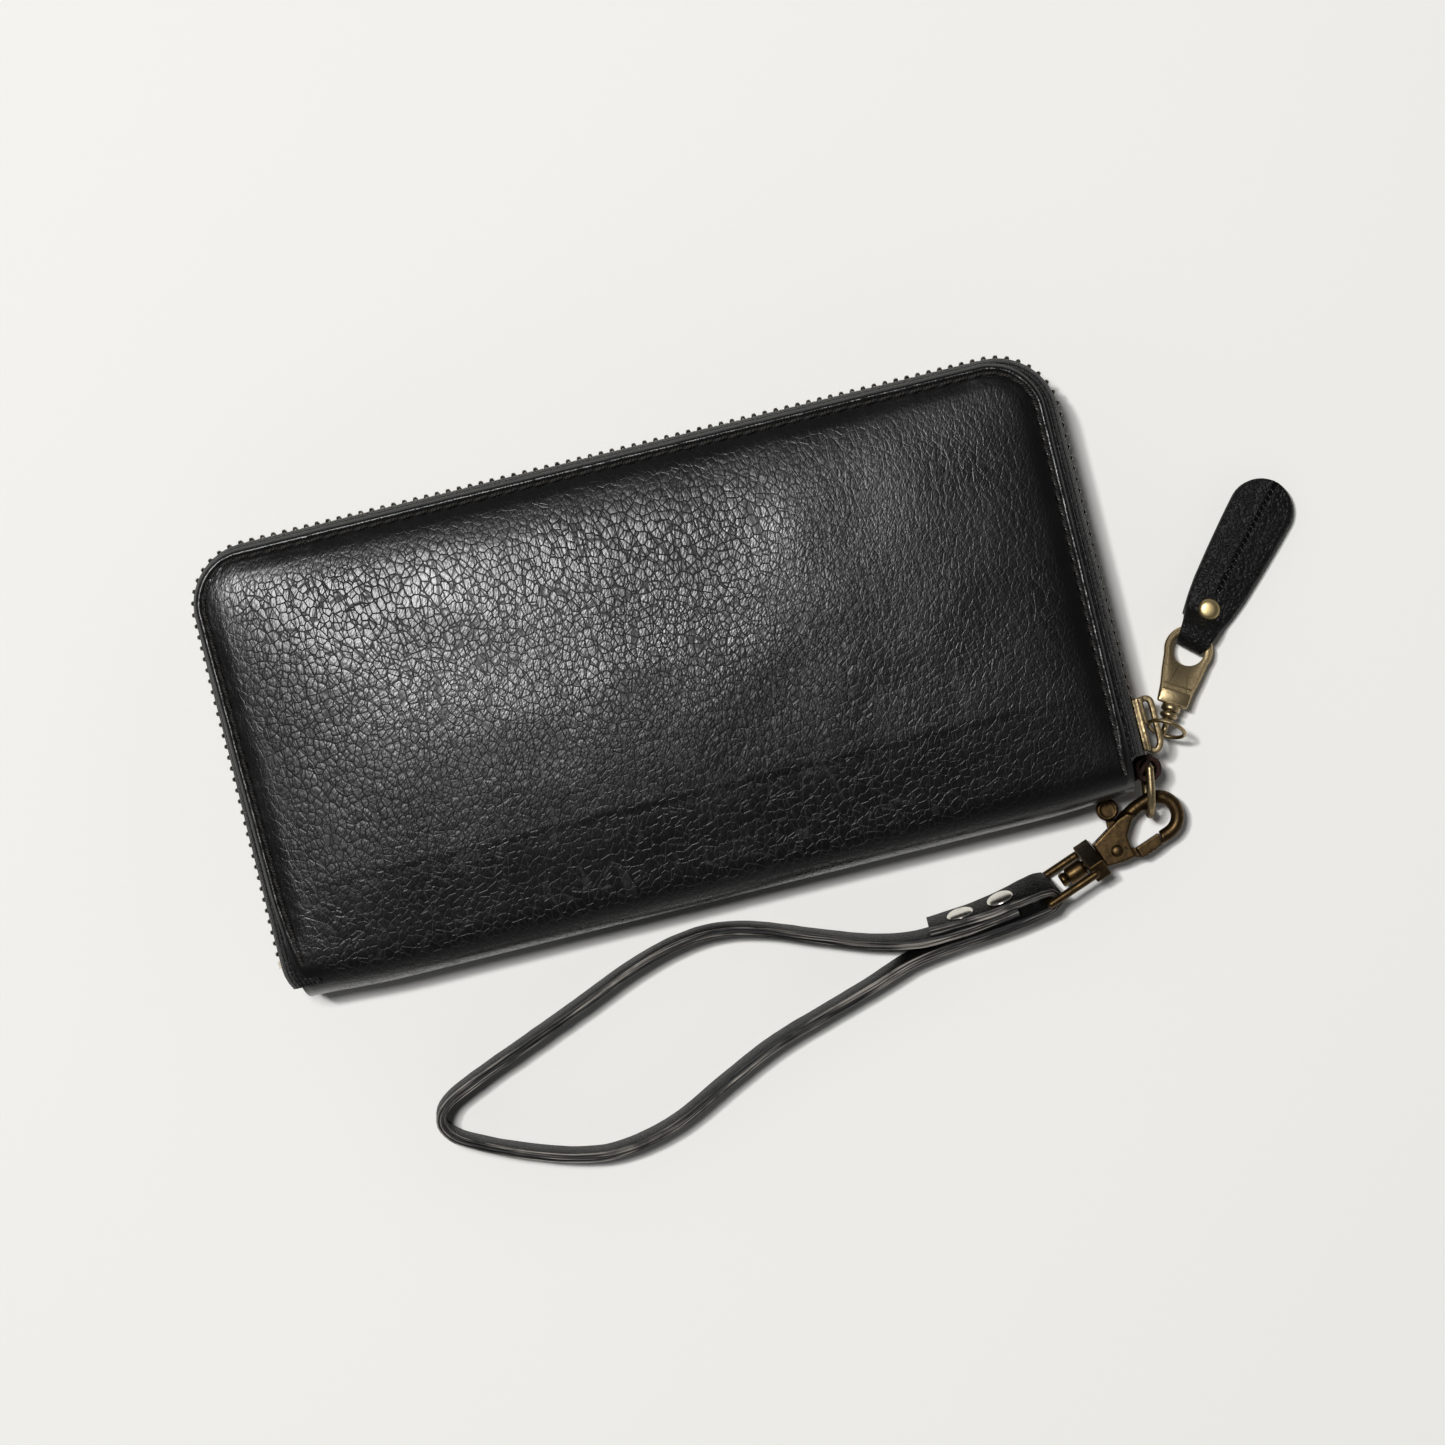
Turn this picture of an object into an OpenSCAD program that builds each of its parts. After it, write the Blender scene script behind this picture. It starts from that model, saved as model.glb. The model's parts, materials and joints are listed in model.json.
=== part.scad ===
// Wristlet wallet: a long zip-round leather wallet with a divider pocket,
// a leather-tabbed zip slider and a wrist strap on a swivel clasp.
// It lies on its back cover: X along the spine, +Y towards the long zipped side, +Z up.
// The origin is the middle of the back cover's resting face.

/* [Wallet] */
// Length of the covers along the spine
cover_l = 193; // [170:1:235]
// Width of the covers from the spine to the long zipped edge
cover_w = 100; // [88:1:125]
// Thickness of the closed wallet over both covers
wallet_t = 24; // [23:0.5:30]
// Thickness of the cover leather
cover_thick = 1.8; // [1.2:0.1:2.2]
// Radius of the two corners that the zip runs round
corner_r = 12; // [8:1:18]
// Radius of the two corners at the spine
spine_corner_r = 4; // [2:0.5:6]
// Thickness of the lining
lining_thick = 0.8; // [0.5:0.1:1]

/* [Zip] */
// Distance from the cover edge out to the middle of the zip chain
chain_out = 1.6; // [1.4:0.1:2.5]
// Thickness of the woven tape
tape_thick = 0.9; // [0.5:0.1:1.2]
// Width of tape that is sewn in under the cover
tape_seam = 6.5; // [4:0.5:8]
// Distance between teeth along one row
tooth_pitch = 2.5; // [2:0.1:3]
// Thickness of a tooth along the chain
tooth_thick = 1.2; // [0.8:0.1:1.4]
// Width of a tooth across the thickness of the chain
tooth_wide = 2.4; // [2:0.1:3]
// Height of a tooth from its tape to its head
tooth_deep = 2.4; // [1.6:0.1:2.8]
// Gap between the two rows of teeth
row_gap = 0.6; // [0.5:0.05:1]
// Length of the slider along the chain
slider_l = 12; // [9:0.5:14]
// Thickness of each slider plate
slider_plate = 0.9; // [0.7:0.1:1.2]
// Distance from the spine to the middle of the parked slider
slider_from_spine = 14; // [13:0.5:18]

/* [Inside] */
// Thickness of each card pocket panel
slot_thick = 0.7; // [0.5:0.1:0.7]
// Step between the top edges of the card pockets
slot_step = 9; // [6:1:11]
// Thickness of the coin pocket that divides the wallet
coin_t = 4.8; // [4.4:0.1:4.8]
// Thickness of the coin pocket's walls
coin_wall = 0.8; // [0.6:0.1:1]

/* [Puller] */
// Radius of the pull ring to the middle of its wire
pull_ring_r = 4; // [3.8:0.1:4.2]
// Radius of the pull ring's wire
pull_wire_r = 0.45; // [0.35:0.05:0.5]
// Half width of the puller plate's round head
head_r = 5.5; // [5:0.1:6]
// Radius of the hole in the puller plate
head_hole_r = 3.7; // [3.4:0.1:3.8]
// Thickness of the puller plate
plate_thick = 1.5; // [1:0.1:1.6]
// Length of the leather pull tab beyond its rivet
tab_l = 32.5; // [24:0.5:45]
// Width of the leather pull tab at its free end
tab_w = 14.4; // [10:0.2:16]
// Thickness of the leather of the pull tab
tab_leather = 1.6; // [1.2:0.1:1.6]

/* [Clasp] */
// Radius of the hook's round bar
hook_bar_r = 1.55; // [1.2:0.05:1.6]
// Radius of the hook's bend to the middle of its bar
hook_bend_r = 4.4; // [4.4:0.1:5]
// Thickness of the clasp body
clasp_t = 5; // [4.6:0.1:5.6]
// Radius of the D-ring's wire
d_wire_r = 0.9; // [0.7:0.05:0.95]
// Radius of the D-ring's bow to the middle of its wire
d_bow_r = 5.8; // [5.6:0.1:6.5]
// Radius of the bail's wire
bail_wire_r = 0.95; // [0.8:0.05:1]

/* [Wrist strap] */
// Width of the wrist strap
strap_w = 9; // [7:0.5:9]
// Thickness of the wrist strap
strap_thick = 2; // [1.6:0.1:2]

/* [Hidden] */

$fn = 48;
leather_black = "#211f1e";
lining_black = "#2b2826";
tape_black = "#17171a";
tooth_metal = "#8d8a80";
brass_antique = "#8f7f5c";
brass_dark = "#6b5433";
brass_bright = "#cdb36e";
leather_raw = "#5a3a2b";

// Stepped card pockets on each side, one node each
slot_count = 4;
half_l = cover_l / 2;
half_w = cover_w / 2;
mid_z = wallet_t / 2;
chain_x = half_l + chain_out;
chain_y = half_w + 0.7;
chain_r = corner_r + chain_out;
zip_end_gap = 1.2;
loop_r = 2.9;
loop_mid = [half_l + 2.7, -half_w + 4.1];
// The zip stops short of the spine, to leave room for the ring loop.
zip_start_y = loop_mid[1] + loop_r + 0.3 + zip_end_gap;
tape_top_z = mid_z - row_gap / 2 - tooth_deep;
lining_z = cover_thick + lining_thick;
slots_z = lining_z + slot_count * slot_thick;
inside_half_l = half_l - 14.7;
inside_low_y = -half_w + 5;
coin_low_z = mid_z - coin_t / 2;
coin_high_z = mid_z + coin_t / 2;
coin_top_y = half_w - 15;
seam = 0.05;

// ---- outlines ----

function arc(centre, r, from, to, steps) =
    [for (i = [0 : steps])
        let (a = from + (to - from) * i / steps)
        [centre[0] + r * cos(a), centre[1] + r * sin(a)]];

function reversed(list) = [for (i = [len(list) - 1 : -1 : 0]) list[i]];

// A plate outline with two radii: one for the zipped corners, one for the spine corners.
module panel_outline(hl, low, high, r_high, r_low) {
    polygon(concat(
        arc([hl - r_high, high - r_high], r_high, 0, 90, 10),
        arc([-hl + r_high, high - r_high], r_high, 90, 180, 10),
        arc([-hl + r_low, low + r_low], r_low, 180, 270, 6),
        arc([hl - r_low, low + r_low], r_low, 270, 360, 6)));
}

// The zip's path, offset outwards by d: up the right side, along the top, down the left.
function zip_path(d, start) = concat(
    [[chain_x + d, start]],
    arc([chain_x - chain_r, chain_y - chain_r], chain_r + d, 0, 90, 10),
    arc([-chain_x + chain_r, chain_y - chain_r], chain_r + d, 90, 180, 10),
    [[-chain_x - d, start]]);

module zip_band(inner, outer, start) {
    polygon(concat(zip_path(outer, start), reversed(zip_path(inner, start))));
}

// Place and heading along the path at distance s from its start.
side_run = chain_y - chain_r - zip_start_y;
bend_run = chain_r * PI / 2;
top_run = 2 * (chain_x - chain_r);
chain_l = 2 * side_run + 2 * bend_run + top_run;
tooth_count = floor(chain_l / tooth_pitch);

function on_chain(s) =
    s < side_run ? [chain_x, zip_start_y + s, 90] :
    s < side_run + bend_run ? on_bend(chain_x - chain_r, (s - side_run) / chain_r, 0) :
    s < side_run + bend_run + top_run
        ? [chain_x - chain_r - (s - side_run - bend_run), chain_y, 180] :
    s < side_run + 2 * bend_run + top_run
        ? on_bend(-chain_x + chain_r, (s - side_run - bend_run - top_run) / chain_r, 90) :
    [-chain_x, chain_y - chain_r - (s - side_run - 2 * bend_run - top_run), 270];

function on_bend(cx, turn, from) =
    let (a = from + turn * 180 / PI)
    [cx + chain_r * cos(a), chain_y - chain_r + chain_r * sin(a), a + 90];

// Turns what is modelled for the back cover over to the front one.
module for_side(front) {
    translate([0, 0, front ? wallet_t : 0])
        mirror([0, 0, front ? 1 : 0])
            children();
}

// ---- covers, lining and card pockets ----

module cover(front) {
    color(leather_black)
        for_side(front)
            linear_extrude(cover_thick)
                panel_outline(half_l, -half_w, half_w, corner_r, spine_corner_r);
}

module lining(front) {
    color(lining_black)
        for_side(front)
            translate([0, 0, cover_thick])
                linear_extrude(lining_thick)
                    panel_outline(chain_x - tape_seam - seam, -half_w + cover_thick + seam,
                        chain_y - tape_seam - seam, chain_r - tape_seam, 1);
}

// Card pocket panel number n, counted from the lining, each one lower than the last.
module card_slot(front, n) {
    color(leather_black)
        for_side(front)
            translate([0, 0, lining_z + (n - 1) * slot_thick])
                linear_extrude(slot_thick)
                    panel_outline(inside_half_l, inside_low_y,
                        half_w - 8 - n * slot_step, 2, 1);
}

module spine() {
    color(leather_black)
        translate([-half_l + spine_corner_r, -half_w, cover_thick])
            cube([cover_l - 2 * spine_corner_r, cover_thick, wallet_t - 2 * cover_thick]);
}

// A leather fan folded inwards between the linings, with the divider at its fold.
module gusset(side) {
    wide_x = half_l - 6.6;
    fold_x = inside_half_l + 1.2;
    color(lining_black)
        mirror([side < 0 ? 1 : 0, 0, 0])
            translate([0, half_w - 22, 0])
                rotate([90, 0, 0])
                    linear_extrude(cover_w - 27)
                        polygon([[wide_x, lining_z], [fold_x + 0.8, mid_z], [wide_x, wallet_t - lining_z],
                            [wide_x - 0.8, wallet_t - lining_z], [fold_x, mid_z], [wide_x - 0.8, lining_z]]);
}

// ---- zip chain ----

module zip_tape(front) {
    color(tape_black)
        for_side(front)
            union() {
                translate([0, 0, cover_thick])
                    linear_extrude(lining_thick)
                        zip_band(-tape_seam, tape_thick / 2, zip_start_y - zip_end_gap);
                translate([0, 0, cover_thick])
                    linear_extrude(tape_top_z - cover_thick)
                        zip_band(-tape_thick / 2, tape_thick / 2, zip_start_y - zip_end_gap);
            }
}

// One row of teeth. The two rows are half a pitch apart, so that the heads would mesh.
module zip_teeth(front) {
    shift = front ? 0.75 : 0.25;
    color(tooth_metal)
        for_side(front)
            for (i = [1 : tooth_count - 2]) {
                at = on_chain((i + shift) * tooth_pitch);
                translate([at[0], at[1], tape_top_z])
                    rotate([0, 0, at[2]])
                        translate([-tooth_thick / 2, -tooth_wide / 2, 0])
                            cube([tooth_thick, tooth_wide, tooth_deep]);
            }
}

module end_stops(front) {
    stop_l = 1.6;
    color(tooth_metal)
        for_side(front)
            for (side = [-1, 1])
                translate([side * chain_x - tooth_wide / 2, zip_start_y - zip_end_gap, tape_top_z])
                    cube([tooth_wide, stop_l, tooth_deep]);
}

// ---- main slider and puller ----

slider_y = -half_w + slider_from_spine;
plate_inner = tooth_wide / 2 + 0.2;
plate_outer = plate_inner + slider_plate;
slider_half_z = 3.8;
crown_half_z = 0.7;
slot_x = chain_x + 3.9;
slot_y = slider_y - 0.3;

// Two plates either side of the teeth, joined by a thin web that passes between the rows.
module zip_slider() {
    web_t = row_gap - 0.2;
    color(brass_antique)
        translate([chain_x, slider_y, mid_z])
            union() {
                for (side = [-1, 1])
                    translate([side > 0 ? plate_inner : -plate_outer, -slider_l / 2, -slider_half_z])
                        cube([slider_plate, slider_l, 2 * slider_half_z]);
                translate([-plate_inner, -slider_l / 2 + 1, -web_t / 2])
                    cube([2 * plate_inner, 4.5, web_t]);
            }
}

// The bridge on the slider's outer plate, with the slot that the pull ring hangs in.
module slider_crown() {
    out = plate_outer;
    far = 5.8;
    color(brass_antique)
        translate([chain_x, slider_y, mid_z - crown_half_z])
            linear_extrude(2 * crown_half_z)
                difference() {
                    polygon([[out, -slider_l / 2], [out, slider_l / 2 - 0.3], [far - 0.8, slider_l / 2 - 0.3],
                        [far, slider_l / 2 - 2], [far, -slider_l / 2 + 2.4], [far - 1.4, -slider_l / 2]]);
                    polygon([[3.1, -slider_l / 2 + 2.2], [4.7, -slider_l / 2 + 3], [4.7, slider_l / 2 - 3.2],
                        [3.1, slider_l / 2 - 3.2]]);
                }
}

// Direction of the puller in plan, and of the ring's plane across it.
pull_turn = 58.4;
ring_turn = pull_turn - 90;
ring_drop = 1;
ring_reach = sqrt(pull_ring_r * pull_ring_r - ring_drop * ring_drop);
ring_mid = [slot_x + ring_reach * cos(ring_turn), slot_y + ring_reach * sin(ring_turn), mid_z - ring_drop];
eye_mid = [ring_mid[0], ring_mid[1], ring_mid[2] - pull_ring_r];
eye_r = 1.35;
eye_wire_r = 0.5;
head_at = 18.8;
plate_from = 5.8;
rim_at = head_at + (head_r + head_hole_r) / 2;
rivet_cap_h = 0.6;
tab_low_z = rivet_cap_h;
loop_gap = 2.9;
// The puller slopes down from the ring until its rim lies in the tab's loop.
rim_z = tab_low_z + tab_leather + loop_gap / 2;
pull_pitch = asin((eye_mid[2] - rim_z) / rim_at);

module pull_ring() {
    color(brass_antique)
        translate(ring_mid)
            rotate([90, 0, ring_turn])
                rotate_extrude()
                    translate([pull_ring_r, 0])
                        circle(pull_wire_r, $fn = 24);
}

// Puts +X along the puller from the middle of its eye, sloping down to the table.
module along_puller() {
    translate(eye_mid)
        rotate([0, 0, pull_turn])
            rotate([0, pull_pitch, 0])
                children();
}

module pull_neck() {
    color(brass_antique)
        along_puller()
            union() {
                rotate([90, 0, 0])
                    rotate_extrude()
                        translate([eye_r, 0])
                            circle(eye_wire_r, $fn = 24);
                translate([eye_r + 0.2, 0, 0])
                    rotate([0, 90, 0])
                        cylinder(r = 0.75, h = plate_from - eye_r - 0.2);
                for (i = [0 : 1])
                    translate([2.5 + i * 1.7, 0, 0])
                        rotate([0, 90, 0])
                            cylinder(r = 1.7 + 0.4 * i, h = 1.1);
            }
}

module pull_plate() {
    neck_half = 3.4;
    color(brass_antique)
        along_puller()
            difference() {
                union() {
                    translate([0, 0, -plate_thick / 2])
                        linear_extrude(plate_thick)
                            polygon(concat(
                                [[plate_from, -neck_half], [plate_from + 5, -neck_half - 0.2]],
                                arc([head_at, 0], head_r, -105, 105, 22),
                                [[plate_from + 5, neck_half + 0.2], [plate_from, neck_half]]));
                    translate([plate_from, -neck_half, -plate_thick / 2])
                        cube([3.2, 2 * neck_half, plate_thick + 0.7]);
                }
                translate([head_at, 0, -plate_thick])
                    cylinder(r = head_hole_r, h = 3 * plate_thick);
            }
}

// The tab turns on the rim of the plate's head.
tab_turn = 48.3;
rim_mid = [
    eye_mid[0] + rim_at * cos(pull_pitch) * cos(pull_turn) + 0.25,
    eye_mid[1] + rim_at * cos(pull_pitch) * sin(pull_turn) - 0.8,
    rim_z];
rivet_from_rim = 6.2;

// Puts +X along the tab from its rivet, with z = 0 on the table.
module along_tab() {
    translate([rim_mid[0] + rivet_from_rim * cos(tab_turn), rim_mid[1] + rivet_from_rim * sin(tab_turn), 0])
        rotate([0, 0, tab_turn])
            children();
}

tab_stack = 2 * tab_leather;

// A strip of leather folded through the plate's hole and riveted to itself.
module pull_tab() {
    bend_x = -rivet_from_rim - 4.3;
    loop_w = 5;
    over_z = tab_leather + loop_gap;
    color(leather_black)
        along_tab()
            translate([0, 0, tab_low_z])
                difference() {
                    union() {
                        linear_extrude(tab_stack)
                            polygon(concat(
                                [[-3, -4.8], [0, -6], [4, -6.3]],
                                arc([tab_l - tab_w / 2, 0], tab_w / 2, -90, 90, 16),
                                [[4, 6.3], [0, 6], [-3, 4.8]]));
                        translate([0, loop_w / 2, 0])
                            rotate([90, 0, 0])
                                linear_extrude(loop_w)
                                    difference() {
                                        polygon([[0, 0], [bend_x + 1, 0], [bend_x, 1],
                                            [bend_x, over_z + 0.6], [bend_x + 1, over_z + tab_leather],
                                            [-4, over_z + tab_leather], [0, tab_stack]]);
                                        polygon([[bend_x + 1.9, tab_leather], [bend_x + 1.9, over_z],
                                            [-4.2, over_z], [-3.1, tab_leather + 1.2], [-3.4, tab_leather]]);
                                    }
                    }
                    translate([0, 0, -1])
                        cylinder(r = 1, h = tab_stack + 2);
                }
}

module tab_rivet() {
    dome_r = 2.35;
    color(brass_bright)
        along_tab()
            rotate_extrude()
                polygon(concat(
                    [[0, 0], [2, 0], [2, rivet_cap_h], [1, rivet_cap_h], [1, tab_low_z + tab_stack],
                        [dome_r, tab_low_z + tab_stack]],
                    [for (i = [0 : 8]) let (a = 10 + 10 * i)
                        [dome_r * cos(a), tab_low_z + tab_stack + 0.15 + 1.1 * sin(a)]],
                    [[0, tab_low_z + tab_stack + 1.25]]));
}

// ---- coin pocket ----

module coin_pocket_wall(front) {
    color(lining_black)
        for_side(front)
            union() {
                translate([-inside_half_l, inside_low_y, coin_low_z])
                    cube([2 * inside_half_l, coin_top_y - inside_low_y, coin_wall]);
                if (!front) {
                    coin_rim();
                }
            }
}

// The back wall's turned rim closes the pocket along the bottom and the two ends.
module coin_rim() {
    rim_w = 1.6;
    rim_h = coin_t - 2 * coin_wall;
    for (side = [-1, 1])
        translate([side > 0 ? inside_half_l - rim_w : -inside_half_l, inside_low_y, coin_low_z + coin_wall])
            cube([rim_w, coin_top_y - inside_low_y - 10, rim_h]);
    translate([-inside_half_l, inside_low_y, coin_low_z + coin_wall])
        cube([2 * inside_half_l, rim_w, rim_h]);
}

coin_tape_y = coin_top_y - 8;
coin_tooth_y = coin_top_y + 3.2;
coin_tooth_l = 2.2;
coin_pitch = 2.2;
coin_zip_half = inside_half_l - 2.8;

module coin_zip_tape() {
    color(tape_black)
        union() {
            translate([-coin_zip_half, coin_tape_y, coin_low_z + coin_wall])
                cube([2 * coin_zip_half, 4, coin_t - 2 * coin_wall]);
            translate([-coin_zip_half, coin_tape_y + 3, mid_z - 0.5])
                cube([2 * coin_zip_half, coin_tooth_y - coin_tape_y - 3, 1]);
        }
}

module coin_zip_teeth() {
    coin_teeth = floor((2 * coin_zip_half - 2) / coin_pitch);
    color(tooth_metal)
        for (i = [0 : coin_teeth - 1])
            translate([-coin_zip_half + 1 + i * coin_pitch, coin_tooth_y, mid_z - 1.1])
                cube([1.2, coin_tooth_l, coin_tooth_l]);
}

coin_slider_x = coin_zip_half - 6;
coin_slider_l = 8;
coin_channel = 1.3;
coin_plate = 0.6;

coin_pull_l = 13;
coin_pull_w = 3.4;
coin_pull_thick = 1;
coin_pull_y = coin_top_y + 1.6;
coin_pin_r = 0.3;
coin_pin = [coin_slider_x - 1, mid_z + coin_channel + coin_plate + 1];

// A C-shaped slider that rides on the closed chain, with two lugs and a pin for its pull.
module coin_slider() {
    low_y = coin_top_y + 0.5;
    high_y = coin_tooth_y + coin_tooth_l + 0.2;
    color(brass_antique)
        translate([coin_slider_x - coin_slider_l / 2, 0, mid_z])
            union() {
                for (side = [-1, 1])
                    translate([0, low_y, side > 0 ? coin_channel : -coin_channel - coin_plate])
                        cube([coin_slider_l, high_y - low_y + 0.8, coin_plate]);
                translate([0, high_y, -coin_channel - 0.1])
                    cube([coin_slider_l, 0.8, 2 * coin_channel + 0.2]);
                for (y = [coin_pull_y - 0.6, coin_pull_y + coin_pull_w + 0.2])
                    translate([coin_slider_l / 2 - 1.8, y, coin_channel])
                        cube([1.6, 0.4, coin_plate + 1.5]);
                translate([coin_slider_l / 2 - 1, coin_pull_y - 0.4, coin_pin[1] - mid_z])
                    rotate([-90, 0, 0])
                        cylinder(r = coin_pin_r, h = coin_pull_w + 0.8);
            }
}

module coin_pull() {
    color(brass_antique)
        translate([coin_pin[0] - coin_pull_l, coin_pull_y, coin_pin[1] - coin_pull_thick / 2])
            difference() {
                cube([coin_pull_l + 0.5, coin_pull_w, coin_pull_thick]);
                translate([2.4, coin_pull_w / 2, -1])
                    cylinder(r = 1, h = 3);
                translate([coin_pull_l, -1, coin_pull_thick / 2])
                    rotate([-90, 0, 0])
                        cylinder(r = coin_pin_r + 0.05, h = coin_pull_w + 2);
            }
}

// ---- ring loop and D-ring ----

loop_bore_r = 1.5;
// The loop, the D-ring and the clasp lie at heights set from the table, not from the wallet.
clasp_z = 6.4;
loop_low_z = clasp_z - 2.7;
loop_h = 9;
d_turn = -99.8;
d_mid_z = clasp_z + 2;
d_bow_at = 4.6;

// A leather strip rolled round the D-ring's bar, its tail sewn in against the spine.
module ring_loop() {
    tail_thick = 2.4;
    color(leather_raw)
        translate([loop_mid[0], loop_mid[1], loop_low_z])
            difference() {
                union() {
                    cylinder(r = loop_r, h = loop_h);
                    translate([-9.5, -loop_mid[1] - half_w + cover_thick + seam, 0])
                        cube([8.5, tail_thick, loop_h]);
                }
                translate([0, 0, -1])
                    cylinder(r = loop_bore_r, h = loop_h + 2);
            }
}

module bar(from, to, r) {
    way = to - from;
    length = norm(way);
    translate(from)
        rotate([0, acos(way[2] / length), atan2(way[1], way[0])])
            cylinder(r = r, h = length);
}

module d_ring() {
    color(brass_antique)
        translate([loop_mid[0], loop_mid[1], d_mid_z])
            rotate([0, 0, d_turn])
                union() {
                    bar([0, 0, -d_bow_r], [0, 0, d_bow_r], d_wire_r);
                    for (side = [-1, 1]) {
                        translate([0, 0, side * d_bow_r])
                            sphere(d_wire_r);
                        bar([0, 0, side * d_bow_r], [d_bow_at, 0, side * d_bow_r], d_wire_r);
                    }
                    translate([d_bow_at, 0, 0])
                        rotate([90, 0, 0])
                            rotate([0, 0, -90])
                                rotate_extrude(angle = 180)
                                    translate([d_bow_r, 0])
                                        circle(d_wire_r, $fn = 24);
                }
}

// ---- clasp: +X along the clasp from its collar to the tip of the hook ----

clasp_turn = 20;
// Where the D-ring's bow lies, seen from the middle of the clasp's collar
ring_in_hook = [14.63, 6.85];
d_far = [loop_mid[0] + (d_bow_at + d_bow_r) * cos(d_turn), loop_mid[1] + (d_bow_at + d_bow_r) * sin(d_turn)];
clasp_mid = [d_far[0] - ring_in_hook[0], d_far[1] - ring_in_hook[1], clasp_z];
hook_at = 17.5;
pivot_at = [5.4, -1.2];
gate_reach = 10.2;
lever_t = 2;
lever_slot_t = 2.3;

module along_clasp() {
    translate(clasp_mid)
        rotate([0, 0, clasp_turn])
            children();
}

module clasp_body() {
    body_end = 1.7;
    rivet_r = 0.9;
    color(brass_dark)
        along_clasp()
            difference() {
                union() {
                    translate([0, 0, -clasp_t / 2])
                        linear_extrude(clasp_t)
                            polygon([[body_end, -2.9], [5, -4], [8.4, -4.6], [8.6, -1.6], [9.2, 0.4],
                                [11.6, 2.4], [13, 3.4], [12, 4.6], [9.5, 4.6], [body_end, 2.9]]);
                    bar([9.5, 3.4, 0], [14.5, hook_bend_r, 0], hook_bar_r);
                    translate([14.5, hook_bend_r, 0])
                        sphere(hook_bar_r);
                    bar([14.5, hook_bend_r, 0], [hook_at, hook_bend_r, 0], hook_bar_r);
                    translate([hook_at, 0, 0])
                        rotate([0, 0, -90])
                            rotate_extrude(angle = 180)
                                translate([hook_bend_r, 0])
                                    circle(hook_bar_r, $fn = 32);
                    bar([hook_at, -hook_bend_r, 0], [14, -hook_bend_r, 0], hook_bar_r);
                }
                translate([pivot_at[0], pivot_at[1], -clasp_t])
                    cylinder(r = rivet_r, h = 2 * clasp_t);
                // Room for the lever between the two cheeks.
                translate([2.8, -7, -lever_slot_t / 2])
                    cube([6.4, 14, lever_slot_t]);
                // The gate closes against a face that is round about its pivot.
                difference() {
                    translate([13, -hook_bend_r - 3, -clasp_t])
                        cube([5, 4.6, 2 * clasp_t]);
                    translate([pivot_at[0], pivot_at[1], -clasp_t - 1])
                        difference() {
                            cylinder(r = 20, h = 2 * clasp_t + 2);
                            translate([0, 0, -1])
                                cylinder(r = gate_reach + 0.2, h = 2 * clasp_t + 4);
                        }
                }
            }
}

module swivel_post() {
    color(brass_dark)
        along_clasp()
            rotate([0, 90, 0])
                union() {
                    translate([0, 0, -2.6])
                        cylinder(r = 1.3, h = 4.3);
                    translate([0, 0, -6.8])
                        cylinder(r = 2.2, h = 4.3);
                    translate([0, 0, -8.6])
                        cylinder(r = 1.7, h = 1.9);
                }
}

module gate_rivet() {
    color(brass_bright)
        along_clasp()
            translate([pivot_at[0], pivot_at[1], 0])
                union() {
                    translate([0, 0, -clasp_t / 2 - 0.3])
                        cylinder(r = 0.9, h = clasp_t + 0.6);
                    for (side = [-1, 1])
                        translate([0, 0, side > 0 ? clasp_t / 2 : -clasp_t / 2 - 0.4])
                            cylinder(r = 1.4, h = 0.4);
                }
}

// Two turns of spring wire in the lever's hub.
module gate_spring() {
    color(tooth_metal)
        along_clasp()
            translate([pivot_at[0], pivot_at[1], 0])
                for (z = [0.3, 0.82])
                    translate([0, 0, z])
                        rotate_extrude()
                            translate([1.35, 0])
                                circle(0.2, $fn = 16);
}

// The gate and its thumb paddle are one lever on the rivet.
module gate_lever() {
    hub_r = 2.1;
    paddle = [8.8, 7.6];
    paddle_r = 2.5;
    color(brass_dark)
        along_clasp()
            difference() {
                union() {
                    translate([pivot_at[0], pivot_at[1], -lever_t / 2])
                        cylinder(r = hub_r, h = lever_t);
                    translate([0, 0, -lever_t / 2])
                        linear_extrude(lever_t)
                            polygon([[5, 0], [7.3, 0.2], [9.2, 6], [7.4, 6.4]]);
                    translate([0, 0, -lever_t / 2])
                        linear_extrude(lever_t)
                            polygon([[5.4, -3], [9.4, -5.6], [9.4, -3.2], [7, -0.6]]);
                    translate([paddle[0], paddle[1], -1.3])
                        cylinder(r = paddle_r, h = 2.6);
                    intersection() {
                        translate([9.4, -5.7, -1.5])
                            cube([8, 2.6, 3]);
                        translate([pivot_at[0], pivot_at[1], -3])
                            cylinder(r = gate_reach, h = 6);
                    }
                }
                translate([pivot_at[0], pivot_at[1], -3])
                    cylinder(r = 0.95, h = 6);
                translate([pivot_at[0], pivot_at[1], 0])
                    cylinder(r = 1.75, h = 3);
            }
}

// ---- bail ----

bail_roll = 28;
bail_bar_at = -13.6;
bail_half = 5.6;

module clasp_bail() {
    collar_low = -2.2;
    collar_high = 1.5;
    post_hole_r = 1.38;
    color(brass_dark)
        along_clasp()
            rotate([bail_roll, 0, 0])
                difference() {
                    union() {
                        translate([collar_low, -2.2, -bail_half])
                            cube([collar_high - collar_low, 4.4, 2 * bail_half]);
                        for (side = [-1, 1]) {
                            bar([bail_bar_at, 0, side * bail_half], [collar_low + 1, 0, side * bail_half],
                                bail_wire_r);
                            translate([bail_bar_at, 0, side * bail_half])
                                sphere(bail_wire_r);
                        }
                        bar([bail_bar_at, 0, -bail_half], [bail_bar_at, 0, bail_half], bail_wire_r);
                    }
                    translate([collar_low - 1, 0, 0])
                        rotate([0, 90, 0])
                            cylinder(r = post_hole_r, h = 6);
                }
}

// ---- wrist strap ----

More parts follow.
